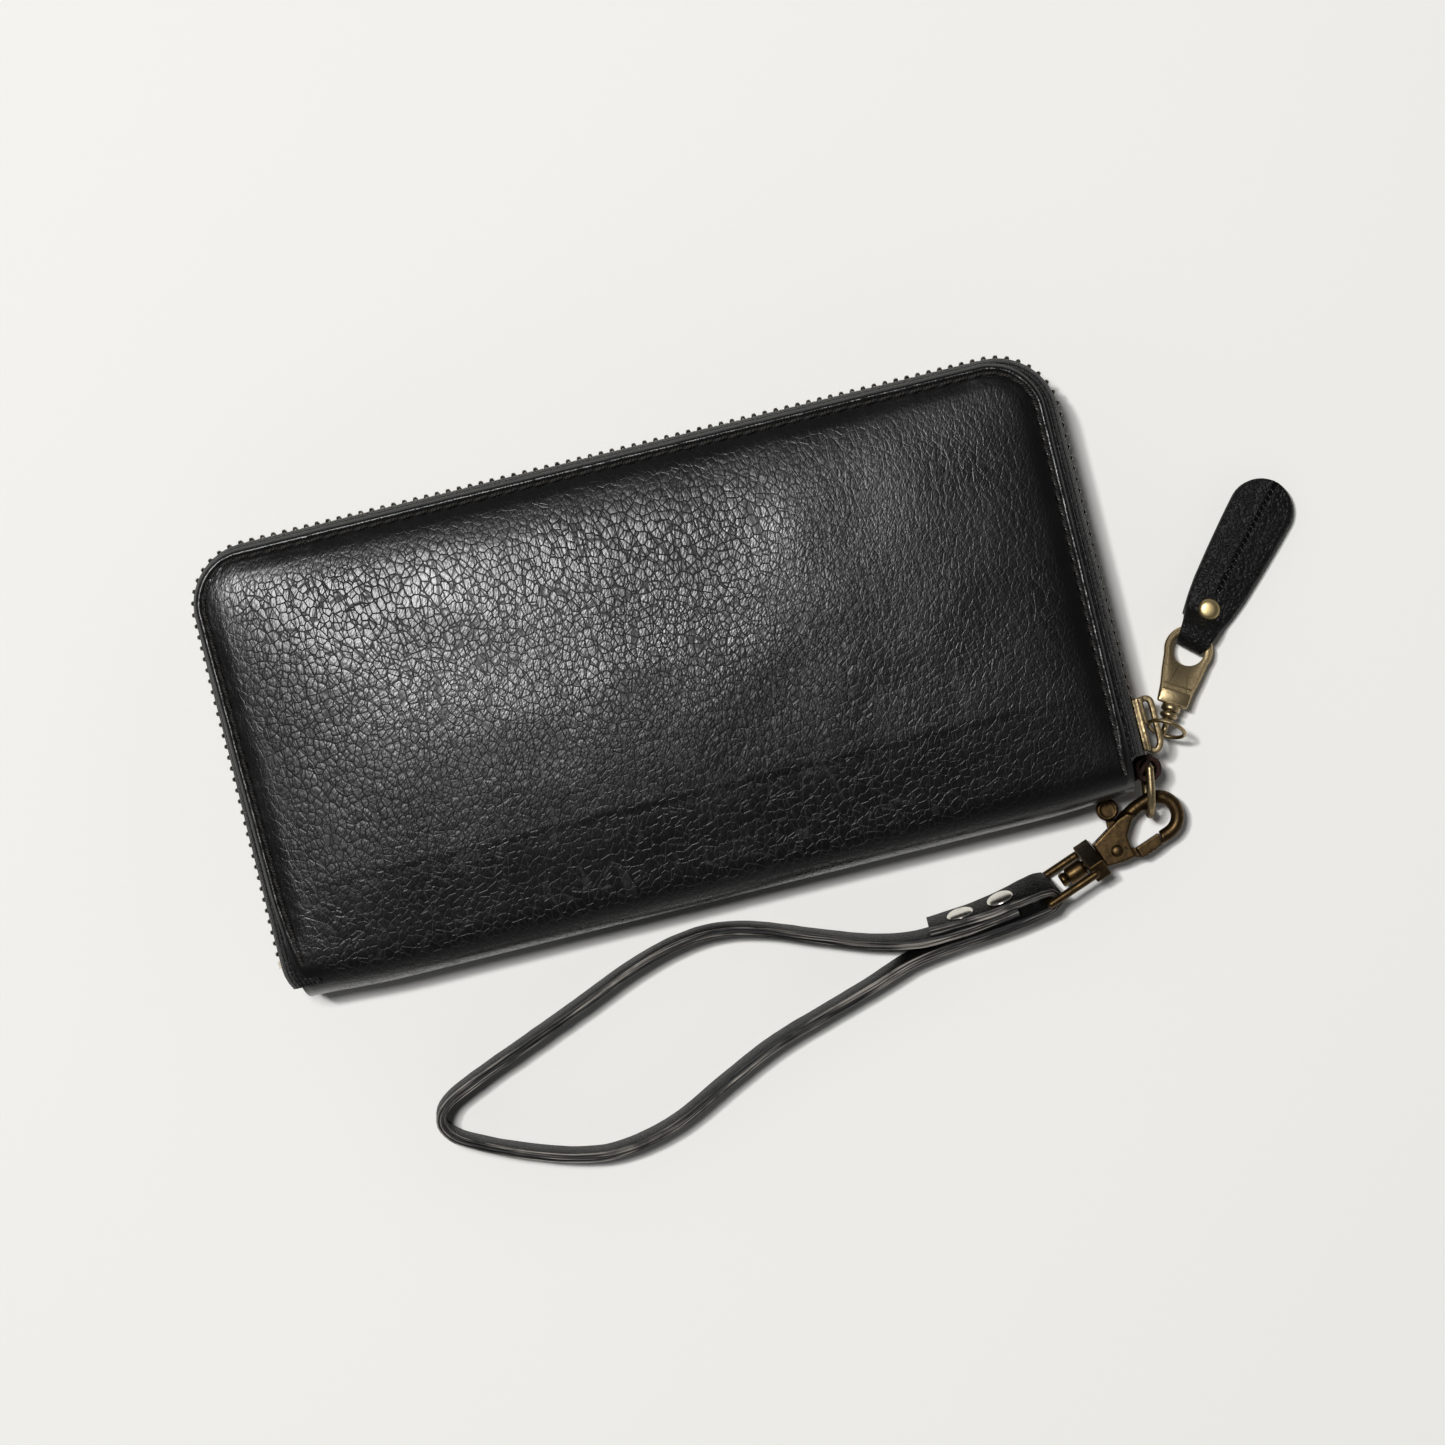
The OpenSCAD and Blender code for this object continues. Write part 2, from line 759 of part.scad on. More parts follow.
// Route of the strap's middle line, measured from the middle of the bail's bar on the table:
// [x, y, z, lean in degrees]. It runs from the flap's end, round the bar, along the outer
// side, round the hand loop and back in between the flap and the outer side.
ROUTE = [
    [-26.6, -1.2, 5.2, 14], [-20.5, -0.9, 5.5, 16], [-14, -0.4, 5.8, 18], [-8, 0.6, 6.3, 21],
    [-3.6, 1.5, 7, 25], [-0.7, 1.95, 7.5, 28], [1, 1.9, 7.2, 28], [2.15, 0.8, 6.4, 28],
    [2.05, -0.8, 5.6, 28], [0.7, -1.95, 5.3, 28], [-3.6, -3, 5.2, 25], [-9, -4.1, 5.1, 20],
    [-16, -5.1, 5, 16], [-24, -6, 4.9, 13], [-33, -7.6, 4.8, 10], [-43, -11, 4.7, 8],
    [-55, -14.6, 4.7, 7], [-67, -18.4, 4.7, 7], [-79, -23.8, 4.7, 7],
    [-93, -30.4, 4.7, 7], [-106, -33, 4.7, 7], [-116, -31.8, 4.7, 7], [-127, -28.1, 4.7, 7],
    [-136, -24.1, 4.7, 7], [-141.4, -20.8, 4.7, 7], [-143.3, -17, 4.7, 7], [-141, -13.4, 4.7, 7],
    [-134, -10, 4.7, 7], [-121, -4.9, 4.7, 7], [-107, 0.6, 4.7, 7], [-95, 5.5, 4.7, 7],
    [-84, 8.7, 4.7, 7], [-74, 9.6, 4.7, 7], [-64, 7.6, 4.7, 8], [-52, 3, 4.7, 9],
    [-40, -1.3, 4.8, 10], [-30, -3.3, 4.9, 12], [-20, -3.05, 5.3, 15], [-12, -2, 5.7, 18],
    [-6.4, -0.95, 6.2, 21]
];

bail_bar_mid = [clasp_mid[0] + bail_bar_at * cos(clasp_turn), clasp_mid[1] + bail_bar_at * sin(clasp_turn), 0];

function unit(v) = v / norm(v);
function heading(i) =
    let (a = ROUTE[max(i - 1, 0)], b = ROUTE[min(i + 1, len(ROUTE) - 1)])
    unit([b[0] - a[0], b[1] - a[1], b[2] - a[2]]);

// The strap's upright, leaning over the clasp's side and square to the route.
function upright(i) =
    let (lean = ROUTE[i][3],
        full = [sin(clasp_turn) * sin(lean), -cos(clasp_turn) * sin(lean), cos(lean)],
        t = heading(i))
    unit(full - (full * t) * t);

function ring_points(i) =
    let (at = [ROUTE[i][0], ROUTE[i][1], ROUTE[i][2]], up = upright(i) * strap_w / 2,
        side = unit(cross(heading(i), upright(i))) * strap_thick / 2)
    [at + up + side, at - up + side, at - up - side, at + up - side];

module wrist_strap() {
    count = len(ROUTE);
    points = [for (i = [0 : count - 1]) each ring_points(i)];
    // Each side of each stretch is two triangles, because a leaning strap twists.
    sides = [for (i = [0 : count - 2], k = [0 : 3])
        let (a = 4 * i + k, b = 4 * i + (k + 1) % 4)
        each [[a, a + 4, b + 4], [a, b + 4, b]]];
    last = 4 * count - 4;
    ends = [[0, 1, 2], [0, 2, 3], [last, last + 2, last + 1], [last, last + 3, last + 2]];
    color(leather_black)
        translate(bail_bar_mid)
            polyhedron(points, concat(sides, ends), convexity = 10);
}

// Where the two rivets cross the middle one of three layers: [x, y, z, heading, lean]
RIVETS = [[-18.9, -3, 5.4, 5, 16], [-9.2, -1.65, 6, 9, 20]];

// A rivet is a post through the three layers with a cap on each face.
module strap_rivets() {
    cap_r = 3.15;
    cap_t = 0.7;
    post_r = 1;
    stack = 3 * strap_thick + 0.4;
    color(brass_bright)
        translate(bail_bar_mid)
            for (at = RIVETS)
                translate([at[0], at[1], at[2]])
                    rotate([90 + at[4], 0, at[3]])
                        union() {
                            translate([0, 0, -stack / 2])
                                cylinder(r = post_r, h = stack);
                            for (side = [-1, 1])
                                translate([0, 0, side > 0 ? stack / 2 : -stack / 2 - cap_t])
                                    cylinder(r = cap_r, h = cap_t);
                        }
}

cover(false);  // back_cover
lining(false);  // back_lining
card_slot(false, 1);  // back_slot_1
card_slot(false, 2);  // back_slot_2
card_slot(false, 3);  // back_slot_3
card_slot(false, 4);  // back_slot_4
zip_tape(false);  // back_zip_tape
zip_teeth(false);  // back_zip_teeth
end_stops(false);  // back_end_stops
spine();
gusset(-1);  // left_gusset
gusset(1);  // right_gusset
ring_loop();
cover(true);  // front_cover
lining(true);  // front_lining
card_slot(true, 1);  // front_slot_1
card_slot(true, 2);  // front_slot_2
card_slot(true, 3);  // front_slot_3
card_slot(true, 4);  // front_slot_4
zip_tape(true);  // front_zip_tape
zip_teeth(true);  // front_zip_teeth
end_stops(true);  // front_end_stops
coin_pocket_wall(false);  // coin_pocket_back
coin_pocket_wall(true);  // coin_pocket_front
coin_zip_tape();
coin_zip_teeth();
coin_slider();
coin_pull();
zip_slider();
slider_crown();
pull_ring();
pull_neck();
pull_plate();
pull_tab();
tab_rivet();
d_ring();
clasp_body();
swivel_post();
gate_rivet();
gate_spring();
gate_lever();
clasp_bail();
wrist_strap();
strap_rivets();
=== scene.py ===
import json
import math

import bmesh
import bpy
import numpy as np
from mathutils import Matrix, Vector, noise


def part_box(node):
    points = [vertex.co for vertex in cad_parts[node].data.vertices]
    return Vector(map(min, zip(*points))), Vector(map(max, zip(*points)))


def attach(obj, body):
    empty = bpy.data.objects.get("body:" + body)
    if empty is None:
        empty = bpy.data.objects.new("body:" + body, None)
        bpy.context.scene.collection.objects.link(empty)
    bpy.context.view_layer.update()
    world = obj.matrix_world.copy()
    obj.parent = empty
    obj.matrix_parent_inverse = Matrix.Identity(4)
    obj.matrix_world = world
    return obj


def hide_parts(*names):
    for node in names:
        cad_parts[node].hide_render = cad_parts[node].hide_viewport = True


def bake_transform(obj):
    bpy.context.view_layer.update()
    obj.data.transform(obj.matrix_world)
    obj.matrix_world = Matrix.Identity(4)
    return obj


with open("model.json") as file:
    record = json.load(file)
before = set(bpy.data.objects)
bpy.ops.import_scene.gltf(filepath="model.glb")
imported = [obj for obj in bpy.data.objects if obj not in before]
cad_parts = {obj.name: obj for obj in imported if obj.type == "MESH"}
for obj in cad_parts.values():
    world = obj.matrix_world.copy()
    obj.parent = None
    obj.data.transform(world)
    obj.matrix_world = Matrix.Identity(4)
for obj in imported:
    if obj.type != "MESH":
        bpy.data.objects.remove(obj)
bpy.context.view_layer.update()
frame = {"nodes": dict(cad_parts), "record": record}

bl_info = {
    "name": "Wristlet wallet",
    "version": (1, 0, 0),
    "blender": (4, 5, 0),
    "location": "View3D > Sidebar > Wallet",
    "description": "A long zip-round leather wallet with a wrist strap on a swivel clasp",
    "category": "Object",
}

# Everything below is worked out in millimetres, and turned to metres when a piece is made.
MM = 0.001
UP = Vector((0, 0, 1))


def node_box(name):
    """Lowest and highest corner of a CAD node, in millimetres."""
    low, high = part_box(name)
    return Vector(low) / MM, Vector(high) / MM


def joint_point(name):
    """The point that a joint turns about, in millimetres."""
    joint = next(j for j in frame["record"]["behaviour"]["joints"] if j["name"] == name)
    return Vector(joint["pos_m"]) / MM


COVER_LOW, COVER_HIGH = node_box("front_cover")
BACK_LOW, BACK_HIGH = node_box("back_cover")
LINING_LOW, LINING_HIGH = node_box("front_lining")
TAPE_LOW, TAPE_HIGH = node_box("front_zip_tape")
TEETH_LOW, TEETH_HIGH = node_box("front_zip_teeth")
COIN_LOW, COIN_HIGH = node_box("coin_pocket_back")
SLOT_LOW, SLOT_HIGH = node_box("front_slot_1")
WALLET_T = COVER_HIGH.z
MID_Z = WALLET_T / 2
HALF_L = COVER_HIGH.x
TOOTH_WIDE = 2.4
CHAIN_X = TEETH_HIGH.x - TOOTH_WIDE / 2
CHAIN_Y = TEETH_HIGH.y - TOOTH_WIDE / 2
CHAIN_R = 12 + CHAIN_X - HALF_L
CHAIN_START = TAPE_LOW.y
TOOTH_PITCH = 2.5


# ---- the maker's sizes and colours ----

def linear(text):
    """A '#rrggbb' colour as linear red, green and blue."""
    parts = [int(text[i:i + 2], 16) / 255 for i in (1, 3, 5)]
    return tuple(p / 12.92 if p <= 0.04045 else ((p + 0.055) / 1.055) ** 2.4 for p in parts)


def colour(name, text, about):
    return bpy.props.FloatVectorProperty(
        name=name, description=about, subtype="COLOR", size=3, min=0, max=1, default=linear(text))


class WalletLeather(bpy.types.PropertyGroup):
    leather: colour("Leather", "#0c0b0b", "Colour of the full-grain outer leather")
    lining: colour("Lining", "#1d1b1a", "Colour of the smooth lining leather")
    raw_edge: colour("Raw edge", "#b3aca3", "Colour of the fibres at a cut edge")
    grain: bpy.props.FloatProperty(
        name="Grain", description="Width of one pebble of the grain", default=0.0018, min=0.0005,
        max=0.006, unit="LENGTH", precision=4)
    crown: bpy.props.FloatProperty(
        name="Crown", description="Height that the padded front stands over its seams",
        default=0.0036, min=0, max=0.006, unit="LENGTH", precision=4)
    stitch_pitch: bpy.props.FloatProperty(
        name="Stitch pitch", description="Length of one stitch of the seam", default=0.0034,
        min=0.002, max=0.006, unit="LENGTH", precision=4)
    seam_inset: bpy.props.FloatProperty(
        name="Seam inset", description="Distance from the leather's edge in to its seam",
        default=0.0022, min=0.001, max=0.005, unit="LENGTH", precision=4)


class WalletMetal(bpy.types.PropertyGroup):
    antique: colour("Antique brass", "#b7a27c", "Colour of the relieved high spots")
    dark: colour("Dark brass", "#6f5838", "Colour of the clasp's worn high spots")
    patina: colour("Patina", "#2c241a", "Colour of the patina left in the hollows")
    bright: colour("Bright brass", "#e6cf98", "Colour of the polished rivets")
    tooth: colour("Teeth", "#958f84", "Colour of the zip teeth")


class WalletStage(bpy.types.PropertyGroup):
    floor: colour("Floor", "#f3f2ee", "Colour of the plain pale floor")
    lens: bpy.props.FloatProperty(
        name="Lens", description="Focal length of the camera", default=100, min=35, max=200)
    width: bpy.props.FloatProperty(
        name="View width", description="Width that the camera takes in at the wallet",
        default=0.3221, min=0.2, max=1, unit="LENGTH", precision=4)


# ---- shapes ----

class Shape:
    """The corners and faces of one piece, gathered part by part in millimetres."""

    def __init__(self):
        self.points = []
        self.faces = []
        self.maps = []
        self.finishes = []
        self.edge = []

    def add(self, points, faces, maps=None, finish=0, place=None, edge=None):
        first = len(self.points)
        self.points += [place @ Vector(p) if place else Vector(p) for p in points]
        self.edge += edge if edge else [99.0] * len(points)
        for i, face in enumerate(faces):
            self.faces.append([first + k for k in face])
            self.maps.append(maps[i] if maps else [(0, 0)] * len(face))
            self.finishes.append(finish)

    def grid(self, rows, round_rows=False, ends=True, finish=0, place=None, edge=None):
        """Faces between rows of points; each row may close on itself, and the ends may be closed."""
        count = len(rows[0])
        middle = count // 2
        along = [0.0]
        for a, b in zip(rows, rows[1:]):
            along.append(along[-1] + (Vector(b[middle]) - Vector(a[middle])).length)
        wide = rows[len(rows) // 2]
        across = [0.0]
        for k in range(count if round_rows else count - 1):
            across.append(across[-1] + (Vector(wide[(k + 1) % count]) - Vector(wide[k])).length)
        points = [p for row in rows for p in row]
        faces, maps = [], []
        for i in range(len(rows) - 1):
            for k in range(count if round_rows else count - 1):
                n = (k + 1) % count
                faces.append([i * count + k, i * count + n, (i + 1) * count + n, (i + 1) * count + k])
                maps.append([(along[i], across[k]), (along[i], across[k + 1]),
                             (along[i + 1], across[k + 1]), (along[i + 1], across[k])])
        if round_rows and ends:
            last = (len(rows) - 1) * count
            faces += [list(range(count))[::-1], [last + k for k in range(count)]]
            maps += [[(0, across[k]) for k in range(count)][::-1],
                     [(along[-1], across[k]) for k in range(count)]]
        self.add(points, faces, maps, finish, place, [e for row in edge for e in row] if edge else None)

    def sweep(self, stations, profile, finish=0, ends=True, place=None):
        """A closed profile of (side, up) points carried along stations of (middle, side, up)."""
        rows = []
        for i, (middle, side, up) in enumerate(stations):
            outline = profile(i) if callable(profile) else profile
            rows.append([middle + side * a + up * b for a, b in outline])
        self.grid(rows, True, ends, finish, place)

    def tube(self, line, radius, sides=16, finish=0, place=None):
        """A round bar along a line of points, its ends rounded off."""
        ring = [(math.cos(2 * math.pi * k / sides), math.sin(2 * math.pi * k / sides)) for k in range(sides)]
        stations = stations_along(line)
        first, last = stations[0], stations[-1]
        start = (stations[1][0] - first[0]).normalized()
        end = (last[0] - stations[-2][0]).normalized()
        caps = [(0.96, 0.3), (0.75, 0.66), (0.4, 0.92)]
        rows = [[first[0] - start * radius * h + (first[1] * a + first[2] * b) * radius * r for a, b in ring]
                for r, h in reversed(caps)]
        rows += [[m + (s * a + u * b) * radius for a, b in ring] for m, s, u in stations]
        rows += [[last[0] + end * radius * h + (last[1] * a + last[2] * b) * radius * r for a, b in ring]
                 for r, h in caps]
        self.grid(rows, True, True, finish, place)

    def lathe(self, outline, sides=40, finish=0, place=None):
        """(radius, height) points turned about Z."""
        rows = [[(r * math.cos(2 * math.pi * k / sides), r * math.sin(2 * math.pi * k / sides), h)
                 for k in range(sides)] for r, h in outline]
        self.grid(rows, True, True, finish, place)

    def slab(self, outline, low, high, rounding=0.3, finish=0, place=None):
        """A flat plate of that outline with its top and bottom edges rounded."""
        steps = [(rounding, 0), (rounding * 0.3, rounding * 0.3), (0, rounding)]
        rows = [[(x, y, low + h) for x, y in inset(outline, d)] for d, h in steps]
        rows += [[(x, y, high - h) for x, y in inset(outline, d)] for d, h in reversed(steps)]
        self.grid(rows, True, True, finish, place)

    def make(self, name, finishes, sharp=40):
        """The object, in metres."""
        mesh = bpy.data.meshes.new(name)
        mesh.from_pydata([p * MM for p in self.points], [], self.faces)
        for finish in finishes:
            mesh.materials.append(finish)
        layer = mesh.uv_layers.new(name="along_across")
        corners = [c for face in self.maps for c in face]
        layer.data.foreach_set("uv", [v * MM for c in corners for v in c])
        mesh.polygons.foreach_set("material_index", self.finishes)
        near = mesh.attributes.new("edge_mm", "FLOAT", "POINT")
        near.data.foreach_set("value", self.edge)
        mesh.update()
        fix_normals(mesh)
        mesh.shade_smooth()
        mesh.set_sharp_from_angle(angle=math.radians(sharp))
        piece = bpy.data.objects.new(name, mesh)
        bpy.context.scene.collection.objects.link(piece)
        return piece


def fix_normals(mesh):
    work = bmesh.new()
    work.from_mesh(mesh)
    bmesh.ops.recalc_face_normals(work, faces=work.faces)
    work.to_mesh(mesh)
    work.free()


def stations_along(line, up=UP):
    """(middle, side, up) at each point of a line, turning as little as it can."""
    line = [Vector(p) for p in line]
    out = []
    for i, p in enumerate(line):
        way = (line[min(i + 1, len(line) - 1)] - line[max(i - 1, 0)]).normalized()
        if not out:
            up = (up - way * up.dot(way))
            up = up.normalized() if up.length > 0.01 else way.orthogonal().normalized()
        else:
            up = (up - way * up.dot(way)).normalized()
        out.append((p, way.cross(up).normalized(), up))
    return out


def smooth_line(points, step):
    """Points about a step apart along a smooth curve through the given ones."""
    points = [Vector(p) for p in points]
    out = []
    for i in range(len(points) - 1):
        a, b = points[i], points[i + 1]
        before = points[i - 1] if i else a * 2 - b
        after = points[i + 2] if i + 2 < len(points) else b * 2 - a
        count = max(1, round((b - a).length / step))
        for k in range(count):
            t = k / count
            out.append(0.5 * (2 * a + (b - before) * t + (2 * before - 5 * a + 4 * b - after) * t * t
                              + (3 * a - before - 3 * b + after) * t ** 3))
    return out + [points[-1]]


def inset(outline, distance):
    """An outline moved inwards, its corners kept."""
    if not distance:
        return list(outline)
    area = sum(a[0] * b[1] - b[0] * a[1] for a, b in zip(outline, outline[1:] + outline[:1]))
    turn = 1 if area > 0 else -1
    out = []
    for i, p in enumerate(outline):
        a, b = Vector(outline[i - 1]), Vector(outline[(i + 1) % len(outline)])
        here = Vector(p)
        one, two = (here - a).normalized(), (b - here).normalized()
        n1, n2 = Vector((-one.y, one.x)) * turn, Vector((-two.y, two.x)) * turn
        bisect = n1 + n2
        bisect = bisect.normalized() if bisect.length > 1e-6 else n1
        out.append(tuple(here + bisect * distance / max(0.35, bisect.dot(n1))))
    return out


def arc(cx, cy, r, start, end, steps):
    return [(cx + r * math.cos(math.radians(start + (end - start) * i / steps)),
             cy + r * math.sin(math.radians(start + (end - start) * i / steps))) for i in range(steps + 1)]


def rounded_rect(x0, y0, x1, y1, r, steps=6):
    return (arc(x1 - r, y0 + r, r, -90, 0, steps) + arc(x1 - r, y1 - r, r, 0, 90, steps)
            + arc(x0 + r, y1 - r, r, 90, 180, steps) + arc(x0 + r, y0 + r, r, 180, 270, steps))


def ease(t):
    t = max(0.0, min(1.0, t))
    return t * t * (3 - 2 * t)


def mix(a, b, t):
    return a + (b - a) * t


def table_value(table, x):
    """A value read off a list of (x, value) pairs, straight between them."""
    for (x0, v0), (x1, v1) in zip(table, table[1:]):
        if x <= x1:
            return mix(v0, v1, max(0.0, (x - x0) / (x1 - x0)))
    return table[-1][1]


def cast(name, nodes, voxel, rounds, finish, extra=None):
    """A cast or stamped metal piece: the CAD nodes and any extra shape made one, its edges softened."""
    work = bmesh.new()
    for node in nodes:
        work.from_mesh(frame["nodes"][node].data)
    if extra:
        part = extra.make("part", [])
        work.from_mesh(part.data)
        bpy.data.objects.remove(part)
    mesh = bpy.data.meshes.new(name)
    work.to_mesh(mesh)
    work.free()
    mesh.materials.clear()
    mesh.materials.append(finish)
    piece = bpy.data.objects.new(name, mesh)
    bpy.context.scene.collection.objects.link(piece)
    skin = piece.modifiers.new("skin", "REMESH")
    skin.mode = "VOXEL"
    skin.voxel_size = voxel * MM
    skin.use_smooth_shade = True
    soften = piece.modifiers.new("soften", "SMOOTH")
    soften.factor = 0.5
    soften.iterations = rounds
    settle(piece)
    for data in [piece.data]:
        data.materials.clear()
        data.materials.append(finish)
        data.shade_smooth()
    return piece


def settle(piece):
    """Applies every modifier of a piece."""
    graph = bpy.context.evaluated_depsgraph_get()
    done = bpy.data.meshes.new_from_object(piece.evaluated_get(graph))
    piece.modifiers.clear()
    piece.data = done


def place_in(piece, body, nodes=()):
    """Rides a piece on its body, and hides the CAD nodes that it stands for."""
    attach(piece, body)
    if nodes:
        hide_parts(*nodes)
    return piece


# ---- finishes ----

def add_node(tree, kind, inputs=None, **settings):
    """Adds a node with its settings, and sets or links its inputs."""
    made = tree.nodes.new(kind)
    for key, value in settings.items():
        setattr(made, key, value)
    for key, value in (inputs or {}).items():
        if isinstance(value, bpy.types.NodeSocket):
            tree.links.new(value, made.inputs[key])
        else:
            made.inputs[key].default_value = value
    return made


def calc(tree, operation, *values, use_clamp=False):
    """One sum on numbers or sockets."""
    return add_node(tree, "ShaderNodeMath", dict(enumerate(values)), operation=operation,
                    use_clamp=use_clamp).outputs[0]


def ramp(tree, value, start, end=(0.0, 1.0), smooth=False):
    """The value carried from one range to another, straight or eased at both ends."""
    return add_node(tree, "ShaderNodeMapRange", {"Value": value, "From Min": start[0], "From Max": start[1],
                    "To Min": end[0], "To Max": end[1]},
                    interpolation_type="SMOOTHSTEP" if smooth else "LINEAR").outputs[0]


def mottle(tree, vector, scale, detail, rough=0.5):
    """Cloudy noise, 0 to 1."""
    return add_node(tree, "ShaderNodeTexNoise", {"Vector": vector, "Scale": scale, "Detail": detail,
                    "Roughness": rough}).outputs[0]


def start_finish(name):
    """An empty material, its node tree and its shader."""
    if name in bpy.data.materials:
        made = bpy.data.materials[name]
        if not made.get("own_finish"):
            raise ValueError(f"{name} is already the name of one of the frame's materials")
        return made, None, None
    made = bpy.data.materials.new(name)
    made["own_finish"] = True
    made.use_nodes = True
    tree = made.node_tree
    shader = tree.nodes["Principled BSDF"]
    return made, tree, shader


def rgba(value):
    return (*value[:3], 1)


def pebbled_leather():
    """Chrome-tanned full-grain cowhide, drum-tumbled: soft pebbles between creases, a satin wax finish."""
    made, tree, shader = start_finish("full_grain_leather")
    if not tree:
        return made
    values = bpy.context.scene.wallet_leather
    place = add_node(tree, "ShaderNodeTexCoord").outputs["Object"]
    near = add_node(tree, "ShaderNodeAttribute", attribute_name="edge_mm").outputs["Fac"]
    # The hide stretches smooth over the turned edges: the grain fades in from 3 to 12 mm off the seam.
    loose = ramp(tree, near, (3.0, 12.0), (0.12, 1.0), smooth=True)
    drift = add_node(tree, "ShaderNodeTexNoise", {"Vector": place, "Scale": 26.0, "Detail": 1.0}).outputs["Color"]
    bend = add_node(tree, "ShaderNodeVectorMath", {0: drift, 1: (0.5, 0.5, 0.5)}, operation="SUBTRACT").outputs[0]
    bend = add_node(tree, "ShaderNodeVectorMath", {0: bend, "Scale": 0.0045}, operation="SCALE").outputs[0]
    flow = add_node(tree, "ShaderNodeVectorMath", {0: place, 1: bend}, operation="ADD").outputs[0]
    # Pebbles, a little longer from the zip to the spine than along the hide.
    stretch = add_node(tree, "ShaderNodeMapping", {"Vector": flow, "Rotation": (0, 0, math.radians(100)),
                       "Scale": (1.14, 0.92, 1.0)}, vector_type="TEXTURE").outputs[0]
    cells = add_node(tree, "ShaderNodeTexVoronoi", {"Vector": stretch, "Scale": 1 / values.grain,
                     "Randomness": 0.9}, feature="DISTANCE_TO_EDGE").outputs["Distance"]
    middle = add_node(tree, "ShaderNodeTexVoronoi", {"Vector": stretch, "Scale": 1 / values.grain,
                      "Randomness": 0.9}, feature="F1").outputs["Distance"]
    middle = calc(tree, "MULTIPLY", middle, middle)
    notch = ramp(tree, cells, (0.0, 0.075), (-0.42, 0.0), smooth=True)
    dome = calc(tree, "MULTIPLY_ADD", middle, -0.5, notch)
    # Fine wrinkles 0.6 mm apart lie over every pebble, drawn out across the hide.
    fine_way = add_node(tree, "ShaderNodeMapping", {"Vector": flow, "Rotation": (0, 0, math.radians(60)),
                        "Scale": (1.5, 0.8, 1.0)}, vector_type="TEXTURE").outputs[0]
    fine = add_node(tree, "ShaderNodeTexVoronoi", {"Vector": fine_way, "Scale": 1 / 0.00062},
                    feature="F1").outputs["Distance"]
    # Long hairline creases 3 mm apart run from the zip towards the spine.
    long_way = add_node(tree, "ShaderNodeMapping", {"Vector": flow, "Rotation": (0, 0, math.radians(98)),
                        "Scale": (3.4, 0.9, 1.0)}, vector_type="TEXTURE").outputs[0]
    folds = add_node(tree, "ShaderNodeTexVoronoi", {"Vector": long_way, "Scale": 1 / 0.0032, "Randomness": 1.0},
                     feature="DISTANCE_TO_EDGE").outputs["Distance"]
    fold = ramp(tree, folds, (0.0, 0.05), smooth=True)
    # The grain is boldest over the left and middle of the hide and fades to fine wrinkles at the right.
    patch = mottle(tree, place, 24.0, 1.0)
    patch = ramp(tree, patch, (0.35, 0.62), (0.6, 1.0))
    hide_x = add_node(tree, "ShaderNodeSeparateXYZ", {"Vector": flow}).outputs[0]
    hide_x = ramp(tree, hide_x, (0.005, 0.085), (1.0, 0.3), smooth=True)
    bold = calc(tree, "MULTIPLY", patch, hide_x)
    bold = calc(tree, "MULTIPLY", bold, loose)
    high = calc(tree, "MULTIPLY_ADD", fold, 0.2, dome)
    high = calc(tree, "MULTIPLY", high, bold)
    high = calc(tree, "MULTIPLY_ADD", fine, -0.26, high)
    bump = add_node(tree, "ShaderNodeBump", {"Strength": 1.0, "Distance": 0.00012, "Height": high}).outputs[0]
    # Painted shade: the creases between the pebbles are coloured near-black, most where the grain is bold.
    line = ramp(tree, cells, (0.0, 0.09))
    low = calc(tree, "MULTIPLY", line, fold)
    low = calc(tree, "SUBTRACT", 1.0, low)
    low = calc(tree, "MULTIPLY", low, bold, use_clamp=True)
    tone = add_node(tree, "ShaderNodeMix", {0: low, 6: rgba(values.leather), 7: (0.0008, 0.0008, 0.0008, 1)},
                    data_type="RGBA").outputs[2]
    # Creases hold no wax: they stay dull between the polished tops of the pebbles.
    wax = mottle(tree, place, 60.0, 4.0)
    wax = ramp(tree, wax, (0.3, 0.7), (0.25, 0.31))
    wax = calc(tree, "MULTIPLY_ADD", low, 0.25, wax)
    tree.links.new(tone, shader.inputs["Base Color"])
    tree.links.new(wax, shader.inputs["Roughness"])
    tree.links.new(bump, shader.inputs["Normal"])
    shader.inputs["Specular IOR Level"].default_value = 0.5
    return made


